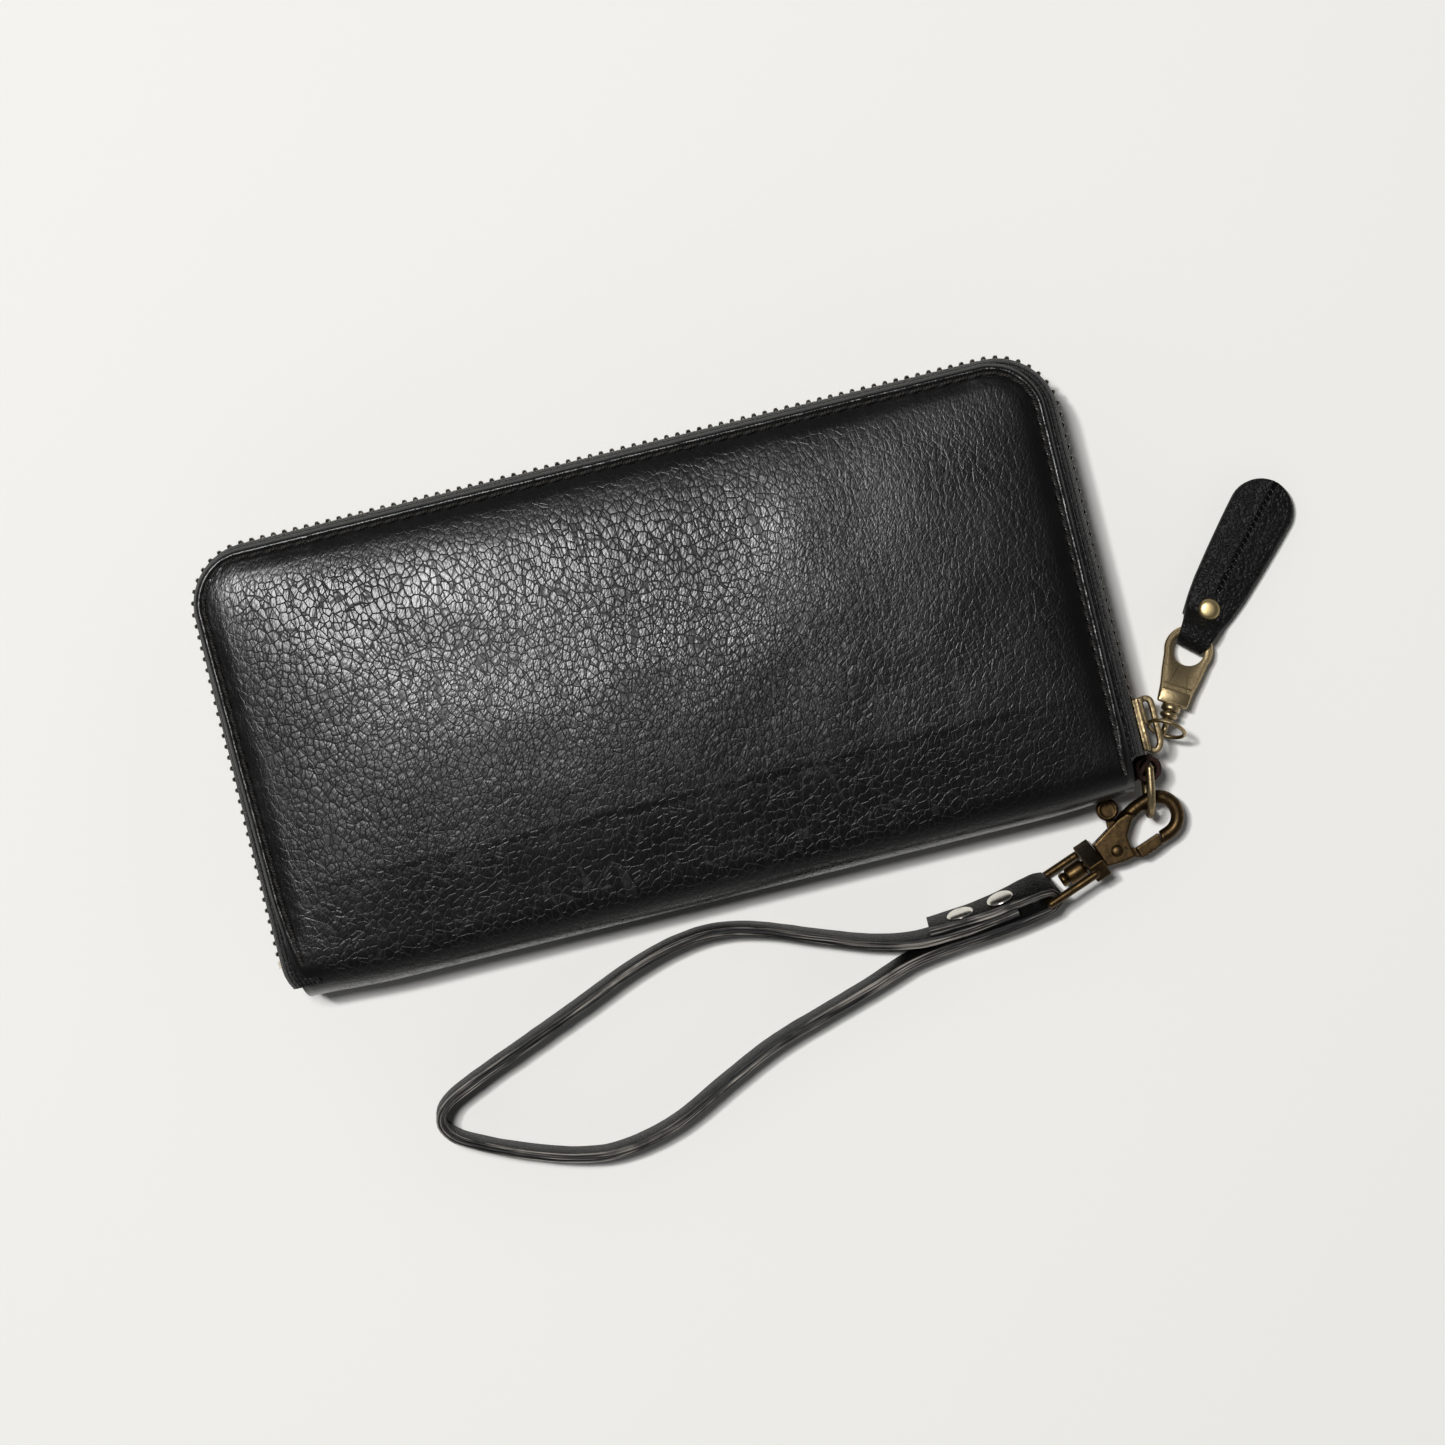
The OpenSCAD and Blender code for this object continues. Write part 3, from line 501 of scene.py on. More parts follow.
def smooth_leather(name, shade, rough, grain=0.0006, depth=0.00006, shine=0.26):
    """Drum-dyed glove leather with a plated face: fine even grain, low sheen."""
    made, tree, shader = start_finish(name)
    if not tree:
        return made
    place = add_node(tree, "ShaderNodeTexCoord").outputs["Object"]
    swirl = add_node(tree, "ShaderNodeTexNoise", {"Vector": place, "Scale": 300.0, "Detail": 2.0}).outputs["Color"]
    swirl = add_node(tree, "ShaderNodeVectorMath", {0: swirl, "Scale": 0.0016}, operation="SCALE").outputs[0]
    place = add_node(tree, "ShaderNodeVectorMath", {0: place, 1: swirl}, operation="ADD").outputs[0]
    cells = add_node(tree, "ShaderNodeTexVoronoi", {"Vector": place, "Scale": 1 / grain},
                     feature="DISTANCE_TO_EDGE").outputs["Distance"]
    cells = ramp(tree, cells, (0.0, 0.32), smooth=True)
    wrinkle = mottle(tree, place, 1 / (grain * 2.2), 5.0, 0.7)
    high = calc(tree, "MULTIPLY_ADD", wrinkle, 1.5, cells)
    bump = add_node(tree, "ShaderNodeBump", {"Strength": 1.0, "Distance": depth, "Height": high}).outputs[0]
    dye = mottle(tree, place, 90.0, 4.0)
    tone = add_node(tree, "ShaderNodeMix", {0: dye, 6: rgba([c * 0.5 for c in shade]),
                    7: rgba([c * 1.5 for c in shade])}, data_type="RGBA").outputs[2]
    gloss = ramp(tree, dye, (0.0, 1.0), (rough - 0.08, rough + 0.1))
    tree.links.new(tone, shader.inputs["Base Color"])
    tree.links.new(gloss, shader.inputs["Roughness"])
    tree.links.new(bump, shader.inputs["Normal"])
    shader.inputs["Specular IOR Level"].default_value = shine
    return made


def cut_edge(name="cut_leather_edge"):
    """The cut edge of laminated vegetable-tanned strip: dyed fibres in thin lines along the edge."""
    made, tree, shader = start_finish(name)
    if not tree:
        return made
    values = bpy.context.scene.wallet_leather
    run = add_node(tree, "ShaderNodeUVMap", uv_map="along_across").outputs[0]
    # Fibre lines 0.6 mm apart across the edge, drawn out 30 times longer along it.
    lines = add_node(tree, "ShaderNodeMapping", {"Vector": run, "Scale": (30.0, 1700.0, 1.0)}).outputs[0]
    fibre = mottle(tree, lines, 1.0, 3.0, 0.7)
    pick = ramp(tree, fibre, (0.5, 0.66))
    broken = mottle(tree, run, 150.0, 3.0)
    broken = ramp(tree, broken, (0.3, 0.55))
    pick = calc(tree, "MULTIPLY", pick, broken)
    tone = add_node(tree, "ShaderNodeMix", {0: pick, 6: rgba(linear("#0c0b0b")), 7: rgba(values.raw_edge)},
                    data_type="RGBA").outputs[2]
    bump = add_node(tree, "ShaderNodeBump", {"Strength": 1.0, "Distance": 0.0003, "Height": fibre}).outputs[0]
    tree.links.new(tone, shader.inputs["Base Color"])
    tree.links.new(bump, shader.inputs["Normal"])
    shader.inputs["Roughness"].default_value = 0.5
    return made


def woven_tape():
    """Polyester zip tape, plain woven: ribs along the tape, and pale specks across it painted on as glints on the
    black threads.
    """
    made, tree, shader = start_finish("woven_polyester_tape")
    if not tree:
        return made
    run = add_node(tree, "ShaderNodeUVMap", uv_map="along_across").outputs[0]
    # Weft threads every 0.5 mm, ribs every 0.9 mm.
    ribs = add_node(tree, "ShaderNodeTexWave", {"Vector": run, "Scale": 1 / 0.0009 / 6.283 * 2, "Distortion": 0.6,
                    "Detail": 1.0}, bands_direction="Y").outputs["Fac"]
    weft = add_node(tree, "ShaderNodeTexWave", {"Vector": run, "Scale": 1 / 0.0005 / 6.283 * 2, "Distortion": 1.5,
                    "Detail": 1.0, "Detail Scale": 2.0}, bands_direction="X").outputs["Fac"]
    weave = calc(tree, "MULTIPLY", ribs, weft)
    high = calc(tree, "MULTIPLY_ADD", ribs, 0.7, weave)
    bump = add_node(tree, "ShaderNodeBump", {"Strength": 1.0, "Distance": 0.0004, "Height": high}).outputs[0]
    # Painted highlight: pale grey specks on the black tape stand for glints of light on the threads.
    painted_glints = mottle(tree, run, 1 / 0.0006, 2.0)
    painted_glints = ramp(tree, painted_glints, (0.5, 0.75))
    tone = add_node(tree, "ShaderNodeMix", {0: painted_glints, 6: rgba(linear("#0b0b0c")), 7: rgba(linear("#4a4949"))},
                    data_type="RGBA").outputs[2]
    tree.links.new(tone, shader.inputs["Base Color"])
    tree.links.new(bump, shader.inputs["Normal"])
    shader.inputs["Roughness"].default_value = 0.42
    return made


def thread():
    """Bonded nylon sewing thread, black, three-ply: a tight slanting twist with a waxy gleam, the crest of each ply
    painted lighter as a painted highlight.
    """
    made, tree, shader = start_finish("bonded_nylon_thread")
    if not tree:
        return made
    run = add_node(tree, "ShaderNodeUVMap", uv_map="along_across").outputs[0]
    slant = add_node(tree, "ShaderNodeMapping", {"Vector": run, "Rotation": (0, 0, math.radians(35))}).outputs[0]
    ply = add_node(tree, "ShaderNodeTexWave", {"Vector": slant, "Scale": 1 / 0.0006 / 6.283 * 2}).outputs["Fac"]
    bump = add_node(tree, "ShaderNodeBump", {"Strength": 0.8, "Distance": 0.00008, "Height": ply}).outputs[0]
    # Painted highlight: the crest of each ply is coloured lighter grey than the black of the thread.
    tone = add_node(tree, "ShaderNodeMix", {0: ply, 6: rgba(linear("#050505")), 7: rgba(linear("#3c3936"))},
                    data_type="RGBA").outputs[2]
    tree.links.new(tone, shader.inputs["Base Color"])
    tree.links.new(bump, shader.inputs["Normal"])
    shader.inputs["Roughness"].default_value = 0.3
    return made


def metal(name, high_spots, hollows, rough, wear=0.5, grain=0.0012, pits=0.00002):
    """Cast or stamped metal: plated, darkened with patina, then relieved so that edges and high spots shine."""
    made, tree, shader = start_finish(name)
    if not tree:
        return made
    place = add_node(tree, "ShaderNodeTexCoord").outputs["Object"]
    edges = add_node(tree, "ShaderNodeNewGeometry").outputs["Pointiness"]
    edges = ramp(tree, edges, (0.44, 0.58))
    cloud = mottle(tree, place, 1 / grain, 5.0, 0.65)
    cloud = ramp(tree, cloud, (0.3, 0.7), (-0.35, 0.35))
    worn = calc(tree, "MULTIPLY_ADD", edges, 0.9, cloud)
    worn = calc(tree, "ADD", worn, wear - 0.5, use_clamp=True)
    tone = add_node(tree, "ShaderNodeMix", {0: worn, 6: rgba(hollows), 7: rgba(high_spots)},
                    data_type="RGBA").outputs[2]
    gloss = ramp(tree, worn, (0.0, 1.0), (rough + 0.16, rough - 0.06))
    grit = mottle(tree, place, 1 / 0.0005, 3.0)
    bump = add_node(tree, "ShaderNodeBump", {"Strength": 0.7, "Distance": pits, "Height": grit}).outputs[0]
    tree.links.new(tone, shader.inputs["Base Color"])
    tree.links.new(gloss, shader.inputs["Roughness"])
    tree.links.new(bump, shader.inputs["Normal"])
    shader.inputs["Metallic"].default_value = 1.0
    return made


def nickel_cap():
    """Nickel-plated rivet caps: pale, softly polished."""
    return metal("nickel_plated_brass", linear("#ebe6dc"), linear("#8d836e"), 0.34, 1.0, 0.002, 0.00001)


def antique_brass():
    values = bpy.context.scene.wallet_metal
    return metal("antiqued_brass", values.antique, values.patina, 0.42, 0.66, 0.0008, 0.00004)


def dark_brass():
    values = bpy.context.scene.wallet_metal
    return metal("dark_antiqued_brass", values.dark, values.patina, 0.36, 0.44, 0.0016)


def bright_brass():
    values = bpy.context.scene.wallet_metal
    return metal("polished_brass", values.bright, linear("#a88a52"), 0.4, 1.0, 0.002, 0.00001)


def tooth_metal():
    values = bpy.context.scene.wallet_metal
    return metal("antiqued_nickel_teeth", values.tooth, linear("#24211d"), 0.34, 0.5, 0.0015)


def lining_leather():
    return smooth_leather("calf_lining", bpy.context.scene.wallet_leather.lining, 0.5)


def tab_leather():
    return smooth_leather("glove_leather", linear("#0d0c0c"), 0.42, 0.0011, 0.00012, 0.2)


def strap_leather():
    return smooth_leather("bridle_leather", linear("#0e0d0d"), 0.46, 0.001, 0.0001, 0.12)


# ---- strap: its route in millimetres from the middle of the bail's bar, on the table ----

ROUTE = [
    (-26.6, -1.2, 5.2, 14), (-20.5, -0.9, 5.5, 16), (-14, -0.4, 5.8, 18), (-8, 0.6, 6.3, 21),
    (-3.6, 1.5, 7, 25), (-0.7, 1.95, 7.5, 28), (1, 1.9, 7.2, 28), (2.15, 0.8, 6.4, 28),
    (2.05, -0.8, 5.6, 28), (0.7, -1.95, 5.3, 28), (-3.6, -3, 5.2, 25), (-9, -4.1, 5.1, 20),
    (-16, -5.1, 5, 16), (-24, -6, 4.9, 13), (-33, -7.6, 4.8, 10), (-43, -11, 4.7, 8),
    (-55, -14.6, 4.7, 7), (-67, -18.4, 4.7, 7), (-79, -23.8, 4.7, 7), (-93, -30.4, 4.7, 7),
    (-106, -33, 4.7, 7), (-116, -31.8, 4.7, 7), (-127, -28.1, 4.7, 7), (-136, -24.1, 4.7, 7),
    (-141.4, -20.8, 4.7, 7), (-143.3, -17, 4.7, 7), (-141, -13.4, 4.7, 7), (-134, -10, 4.7, 7),
    (-121, -4.9, 4.7, 7), (-107, 0.6, 4.7, 7), (-95, 5.5, 4.7, 7), (-84, 8.7, 4.7, 7),
    (-74, 9.6, 4.7, 7), (-64, 7.6, 4.7, 8), (-52, 3, 4.7, 9), (-40, -1.3, 4.8, 10),
    (-30, -3.3, 4.9, 12), (-20, -3.05, 5.3, 15), (-12, -2, 5.7, 18), (-6.4, -0.95, 6.2, 21),
]
RIVETS = [(-18.9, -3.0, 5.4, 5, 16), (-9.2, -1.65, 6, 9, 20)]
STRAP_W, STRAP_T = 9.0, 2.0
BAR = joint_point("strap_swing")
CLASP_TURN = math.radians(20)


def strap_stations():
    """The strap's middle line, its thickness direction and its leaning upright."""
    line = smooth_line([r[:3] for r in ROUTE], 1.2)
    marks = [0.0]
    for a, b in zip(ROUTE, ROUTE[1:]):
        marks.append(marks[-1] + (Vector(b[:3]) - Vector(a[:3])).length)
    table = [(m, r[3]) for m, r in zip(marks, ROUTE)]
    run, out = 0.0, []
    for i, p in enumerate(line):
        if i:
            run += (p - line[i - 1]).length
        lean = math.radians(table_value(table, run))
        tall = Vector((math.sin(CLASP_TURN) * math.sin(lean), -math.cos(CLASP_TURN) * math.sin(lean),
                       math.cos(lean)))
        way = (line[min(i + 1, len(line) - 1)] - line[max(i - 1, 0)]).normalized()
        tall = (tall - way * tall.dot(way)).normalized()
        out.append((p + Vector((BAR.x, BAR.y, 0)), way.cross(tall).normalized(), tall))
    return out


# Each lamp: width and height over the table in metres, power, how far it stands left of and above the middle of
# the view for each unit of height, and whether it is mirrored in the wallet. The key only casts the shadows; the
# sheen lamp makes the highlight on the leather and the brass.
LAMPS = {
    "key": (0.32, 4.8, 83.0, (-0.34, 0.18), False),
    "sheen": (0.4, 2.2, 26.5, (-0.21, 0.15), True),
}


class WALLET_OT_stage(bpy.types.Operator):
    """A plain pale floor, soft studio light and the camera above the wallet"""
    bl_idname = "wallet.stage"
    bl_label = "Stage"

    def execute(self, context):
        stage = context.scene.wallet_stage
        context.scene.view_settings.view_transform = "Standard"
        made, _, shader = start_finish("seamless_paper")
        shader.inputs["Base Color"].default_value = rgba(stage.floor)
        shader.inputs["Roughness"].default_value = 0.85
        shader.inputs["Specular IOR Level"].default_value = 0.2
        sheet = Shape()
        sheet.add([(-3000, -3000, 0), (3000, -3000, 0), (3000, 3000, 0), (-3000, 3000, 0)], [[0, 1, 2, 3]])
        floor = sheet.make("floor", [made])
        floor.location.z = -0.00005
        world = bpy.data.worlds.new("studio")
        world.use_nodes = True
        sky = world.node_tree.nodes["Background"]
        sky.inputs["Color"].default_value = (0.98, 0.99, 1.0, 1)
        # Grey walls all round and a dark ceiling, so the fill comes from the sides.
        way = add_node(world.node_tree, "ShaderNodeTexCoord").outputs["Generated"]
        up = add_node(world.node_tree, "ShaderNodeSeparateXYZ", {"Vector": way}).outputs[2]
        fill = ramp(world.node_tree, up, (0.3, 0.88), (0.26, 0.012), smooth=True)
        world.node_tree.links.new(fill, sky.inputs["Strength"])
        context.scene.world = world
        look = Vector((0.00947, -0.01315, 0.012))
        roll = math.radians(-13.9)
        across = Vector((math.cos(roll), math.sin(roll), 0))
        upward = Vector((-math.sin(roll), math.cos(roll), 0))
        for name, (size, high, power, (left, top), mirrored) in LAMPS.items():
            lamp = bpy.data.lights.new(name, "AREA")
            lamp.shape, lamp.size, lamp.energy = "DISK", size, power
            shine = bpy.data.objects.new(name, lamp)
            shine.visible_glossy = mirrored
            way = (across * left + upward * top + UP * 1.0).normalized()
            shine.location = look + way * high
            shine.rotation_euler = way.to_track_quat("Z", "Y").to_euler()
            context.scene.collection.objects.link(shine)
        lens = bpy.data.cameras.new("camera")
        lens.lens = stage.lens
        lens.sensor_width = 36
        lens.clip_start = 0.01
        eye = bpy.data.objects.new("camera", lens)
        eye.location = look + UP * (stage.width * stage.lens / 36)
        eye.rotation_euler = (0, 0, roll)
        context.scene.collection.objects.link(eye)
        context.scene.camera = eye
        return {"FINISHED"}


class WALLET_OT_strap(bpy.types.Operator):
    """The wrist strap: three-ply leather strip folded round the bail and riveted to itself"""
    bl_idname = "wallet.strap"
    bl_label = "Wrist strap"

    def execute(self, context):
        stations = strap_stations()
        half_w, half_t = STRAP_W / 2, STRAP_T / 2
        # Faces slightly rounded at the corners; the two edges show the gaps between the glued plies.
        face = [(half_t, -half_w + 0.35), (half_t, 0), (half_t, half_w - 0.35)]
        edge = [(0.86, half_w - 0.08), (0.5, half_w), (0.36, half_w - 0.16), (0.22, half_w),
                (-0.22, half_w + 0.02), (-0.36, half_w - 0.14), (-0.5, half_w), (-0.86, half_w - 0.08)]
        outline = face + edge + [(-a, -b) for a, b in face] + [(-a, -b) for a, b in edge]
        count = len(outline)
        rows = []
        for i, (middle, side, tall) in enumerate(stations):
            wobble = 1 + 0.03 * noise.noise(Vector((i * 0.13, 2.0, 0))) + 0.02 * noise.noise(Vector((i * 0.9, 5.0, 0)))
            rows.append([middle + side * a * (1.08 + 0.08 * noise.noise(Vector((i * 0.35, b, 3.0))))
                         + tall * b * wobble for a, b in outline])
        strip = Shape()
        strip.grid(rows, True)
        edge_spans = set(range(2, 11)) | set(range(13, 22))
        strip.finishes = [1 if i % count in edge_spans else 0 for i in range(len(strip.faces))]
        piece = strip.make("wrist_strap_leather", [strap_leather(), cut_edge()], 35)
        place_in(piece, "strap", ["wrist_strap"])
        caps = Shape()
        cap = [(0.02, 0.75), (0.9, 0.74), (1.8, 0.66), (2.6, 0.46), (3.02, 0.2), (3.1, 0.0), (3.02, -0.12),
               (1.0, -0.15), (0.02, -0.15)]
        stack = 1.5 * STRAP_T + 0.2
        for x, y, z, turn, lean in RIVETS:
            place = (Matrix.Translation((BAR.x + x, BAR.y + y, z)) @ Matrix.Rotation(math.radians(turn), 4, "Z")
                     @ Matrix.Rotation(math.radians(90 + lean), 4, "X"))
            for side in (1, -1):
                flip = Matrix.Identity(4) if side > 0 else Matrix.Rotation(math.pi, 4, "X")
                caps.lathe(cap, place=place @ flip @ Matrix.Translation((0, 0, stack)))
            caps.lathe([(1, -stack), (1, stack)], 24, place=place)
        rivets = place_in(caps.make("wrist_strap_rivets", [nickel_cap()]), "strap", ["strap_rivets"])
        return {"FINISHED"}


# ---- outer leather ----

LEFT_EDGE = [(-52, -94.0), (-46, -95.2), (-29, -96.5), (31, -97.6), (50, -97.8)]
RIGHT_EDGE = [(-52, 94.4), (-46, 95.0), (0, 95.3), (50, 95.5)]
ZIP_EDGE = 49.8
CORNER_R = 12.5
ROLL = [(-28, 24.0), (-36, 23.95), (-42, 23.75), (-45.4, 23.3), (-47.8, 22.3), (-49.6, 20.5), (-50.7, 17.6),
        (-51.2, 14.6), (-51.3, 12.0)]
LEATHER_T = 1.3


def edge_distance(x, y):
    """Distance in from the cut outline of a cover: its two ends and its zipped side."""
    left, right = x - table_value(LEFT_EDGE, y), table_value(RIGHT_EDGE, y) - x
    top = ZIP_EDGE - y
    side = min(left, right)
    if side < CORNER_R and top < CORNER_R:
        return CORNER_R - math.hypot(CORNER_R - side, CORNER_R - top)
    return min(side, top)


def cover_crown(x, y, high):
    """How far the padded cover stands over its flat seam allowance."""
    left, right = x - table_value(LEFT_EDGE, y), table_value(RIGHT_EDGE, y) - x
    top = ZIP_EDGE - y
    rise = 1.0
    for d, reach in ((left, 19.0), (right, 22.0), (top, 11.0)):
        rise *= 1 - math.exp(-max(0.0, d - 2.4) / reach)
    # Towards the spine the cover falls away in one long curve.
    rise *= 1 - 0.88 * min(1.0, max(0.0, (6 - y) / 52)) ** 2
    sag = 0.22 * noise.noise(Vector((x * 0.028, y * 0.034, 1.7))) + 0.1 * noise.noise(Vector((x * 0.07, y * 0.08, 5)))
    return rise * (high + sag * 1.6)


def edge_profile(d, inset_mm):
    """Height of the leather's face over the lining near its turned edge, with the seam sunk in."""
    rim = 1.15 * math.sin(min(1.0, max(0.0, d) / 1.1) * math.pi / 2)
    seam = 0.42 * math.exp(-((d - inset_mm) / 0.42) ** 2)
    pull = 0.28 * math.exp(-((d - inset_mm - 0.9) / 1.5) ** 2)
    return rim - seam - pull


def pucker(x, y, d, inset_mm):
    """Small lumps where each stitch pulls the edge down."""
    along = y if min(x - table_value(LEFT_EDGE, y), table_value(RIGHT_EDGE, y) - x) < ZIP_EDGE - y else x
    lump = noise.noise(Vector((along / 1.5, 3.1, 0.0))) + 0.5 * noise.noise(Vector((along / 5.0, 8.4, 0.0)))
    return 0.26 * lump * math.exp(-((d - inset_mm) / 1.5) ** 2) * min(1.0, max(0.0, d) / 0.8)


class WALLET_OT_outer_leather(bpy.types.Operator):
    """The outer leather: one hide from the front, round the spine, to the back"""
    bl_idname = "wallet.outer_leather"
    bl_label = "Outer leather"

    def execute(self, context):
        values = context.scene.wallet_leather
        crown, inset_mm = values.crown / MM, values.seam_inset / MM
        near = [0, 0.12, 0.3, 0.55, 0.85, 1.2, 1.6, 1.9, 2.2, 2.5, 2.8, 3.3, 4, 5, 6.2, 7.6, 9]
        tops = [ZIP_EDGE - d for d in near] + [ZIP_EDGE - 10 - 0.95 * i for i in range(71)]
        spine = smooth_line([(0, y, z) for y, z in ROLL], 1.1)
        roll = [(p.y, p.z) for p in spine if p.y < tops[-1] - 0.8]
        # Each row is (y, z of the base, height over the seam allowance, share of edge detail).
        rows, inner, marks = [], [], []
        wide_steps = near + [10 + i * (193 - 20) / 185 for i in range(186)] + [193 - d for d in reversed(near)]
        wide_steps = [d / 193 for d in wide_steps]

        def stations_x(y):
            left, right = table_value(LEFT_EDGE, y), table_value(RIGHT_EDGE, y)
            top = ZIP_EDGE - y
            cut = CORNER_R - math.sqrt(max(0.0, CORNER_R ** 2 - (CORNER_R - top) ** 2)) if top < CORNER_R else 0
            return [mix(left + cut, right - cut, t) for t in wide_steps]

        for side in (1, -1):
            part = [(y, None) for y in tops] + [(y, z) for y, z in roll]
            if side < 0:
                part = part[::-1][1:]
            for y, roll_z in part:
                outer_row, inner_row, mark_row = [], [], []
                for x in stations_x(y):
                    d = edge_distance(x, y)
                    ends = min(x - table_value(LEFT_EDGE, y), table_value(RIGHT_EDGE, y) - x)
                    shape = edge_profile(d, inset_mm) + pucker(x, y, d, inset_mm)
                    high = cover_crown(x, y, crown if side > 0 else crown * 0.25)
                    if side < 0:
                        high = min(high, 0.62)
                    if roll_z is None:
                        z = MID_Z + side * (10.2 + shape + high)
                        outer_row.append((x, y, z))
                        inner_row.append((x, max(y, -48.2), MID_Z + side * 10.2))
                    else:
                        turn = ease((-y - 28) / 23)
                        drop = roll_z - 24.0
                        level = 10.2 + shape * (1 - turn) + (1.15 - 0.75 * (1 - ease(ends / 2.2))) * turn
                        level += high * (1 - turn)
                        z = max(0.0, level + drop)
                        bulge = 0.9 * math.sin(math.pi * ease(ends / 26) / 2) * turn
                        outer_row.append((x, y - bulge + 0.9, MID_Z + side * z))
                        level_in = min(10.2, max(0.0, level + drop - 1.0))
                        inner_row.append((x, max(min(y + 1.4, y + LEATHER_T + 0.9 * turn), -48.2),
                                          MID_Z + side * min(level_in, 10.2)))
                    mark_row.append(min(d, 99.0))
                rows.append(outer_row)
                inner.append(inner_row)
                marks.append(mark_row)
        hide = Shape()
        count = len(rows[0])
        loops, loop_marks = [], []
        for outer_row, inner_row, mark_row in zip(rows, inner, marks):
            loops.append(outer_row + inner_row[::-1])
            loop_marks.append(mark_row + [1.0] * count)
        hide.grid(loops, True, True, edge=loop_marks)
        piece = hide.make("outer_leather", [pebbled_leather()], 60)
        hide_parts("front_cover", "back_cover", "spine")
        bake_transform(piece)
        return {"FINISHED"}


def seam_points(inset_mm, pitch):
    """Places along the seam of a cover, from the spine up one end, along the zip and down the other."""
    line = [(table_value(RIGHT_EDGE, y) - inset_mm, y) for y in range(-44, 36, 2)]
    r = CORNER_R - inset_mm
    top = ZIP_EDGE - CORNER_R
    line += arc(table_value(RIGHT_EDGE, 40) - CORNER_R, top, r, 0, 90, 16)
    line += arc(table_value(LEFT_EDGE, 40) + CORNER_R, top, r, 90, 180, 16)
    line += [(table_value(LEFT_EDGE, y) + inset_mm, y) for y in range(36, -46, -2)]
    out, run = [], 0.0
    for a, b in zip(line, line[1:]):
        gap = math.dist(a, b)
        while run <= gap:
            out.append((mix(a[0], b[0], run / gap), mix(a[1], b[1], run / gap), math.atan2(b[1] - a[1], b[0] - a[0])))
            run += pitch
        run -= gap
    return out


class WALLET_OT_stitching(bpy.types.Operator):
    """The lock-stitched seam round each cover"""
    bl_idname = "wallet.stitching"
    bl_label = "Stitching"

    def execute(self, context):
        values = context.scene.wallet_leather
        inset_mm, pitch = values.seam_inset / MM, values.stitch_pitch / MM
        for body, side in (("front", 1), ("back", -1)):
            seam = Shape()
            for n, (x, y, way) in enumerate(seam_points(inset_mm, pitch)):
                along = Vector((math.cos(way), math.sin(way), 0))
                across = Vector((-along.y, along.x, 0))
                base = 10.2 + edge_profile(inset_mm, inset_mm)
                tilt = 0.12 + 0.05 * noise.noise(Vector((n * 0.7, 0, 0)))
                line = []
                for t in (-0.5, -0.42, -0.2, 0, 0.2, 0.42, 0.5):
                    lift = 0.62 * (1 - (abs(t) * 2) ** 2.6) - 0.08
                    point = Vector((x, y, 0)) + along * t * (pitch - 0.5) + across * tilt * t * 2
                    point.z = MID_Z + side * (base + lift + 0.02)
                    line.append(point)
                seam.tube(line, 0.36, 8)
            place_in(seam.make(body + "_stitches", [thread()]), body, ())
        return {"FINISHED"}


# ---- zip ----

# Past the last tooth on the left the tapes run on and tuck in towards the spine.
TAIL = 5.5
SIDE_RUN = CHAIN_Y - CHAIN_R - CHAIN_START
BEND_RUN = CHAIN_R * math.pi / 2
TOP_RUN = 2 * (CHAIN_X - CHAIN_R)
CHAIN_L = 2 * SIDE_RUN + 2 * BEND_RUN + TOP_RUN


def chain_at(run):
    """(x, y, heading, outward direction) at a distance along the middle of the zip chain."""
    cy = CHAIN_Y - CHAIN_R
    if run < SIDE_RUN:
        x, y, way = CHAIN_X, CHAIN_START + run, 90
    elif run < SIDE_RUN + BEND_RUN:
        a = (run - SIDE_RUN) / CHAIN_R
        x, y, way = CHAIN_X - CHAIN_R + CHAIN_R * math.cos(a), cy + CHAIN_R * math.sin(a), 90 + math.degrees(a)
    elif run < SIDE_RUN + BEND_RUN + TOP_RUN:
        x, y, way = CHAIN_X - CHAIN_R - (run - SIDE_RUN - BEND_RUN), CHAIN_Y, 180
    elif run < SIDE_RUN + 2 * BEND_RUN + TOP_RUN:
        a = (run - SIDE_RUN - BEND_RUN - TOP_RUN) / CHAIN_R + math.pi / 2
        x, y, way = -CHAIN_X + CHAIN_R + CHAIN_R * math.cos(a), cy + CHAIN_R * math.sin(a), 90 + math.degrees(a)
    else:
        past = max(0.0, run - CHAIN_L)
        x, y, way = 0.06 * past ** 2 - CHAIN_X, cy - (run - SIDE_RUN - 2 * BEND_RUN - TOP_RUN), 270
    turn = math.radians(way - 90)
    return x, y, math.radians(way), Vector((math.cos(turn), math.sin(turn), 0))


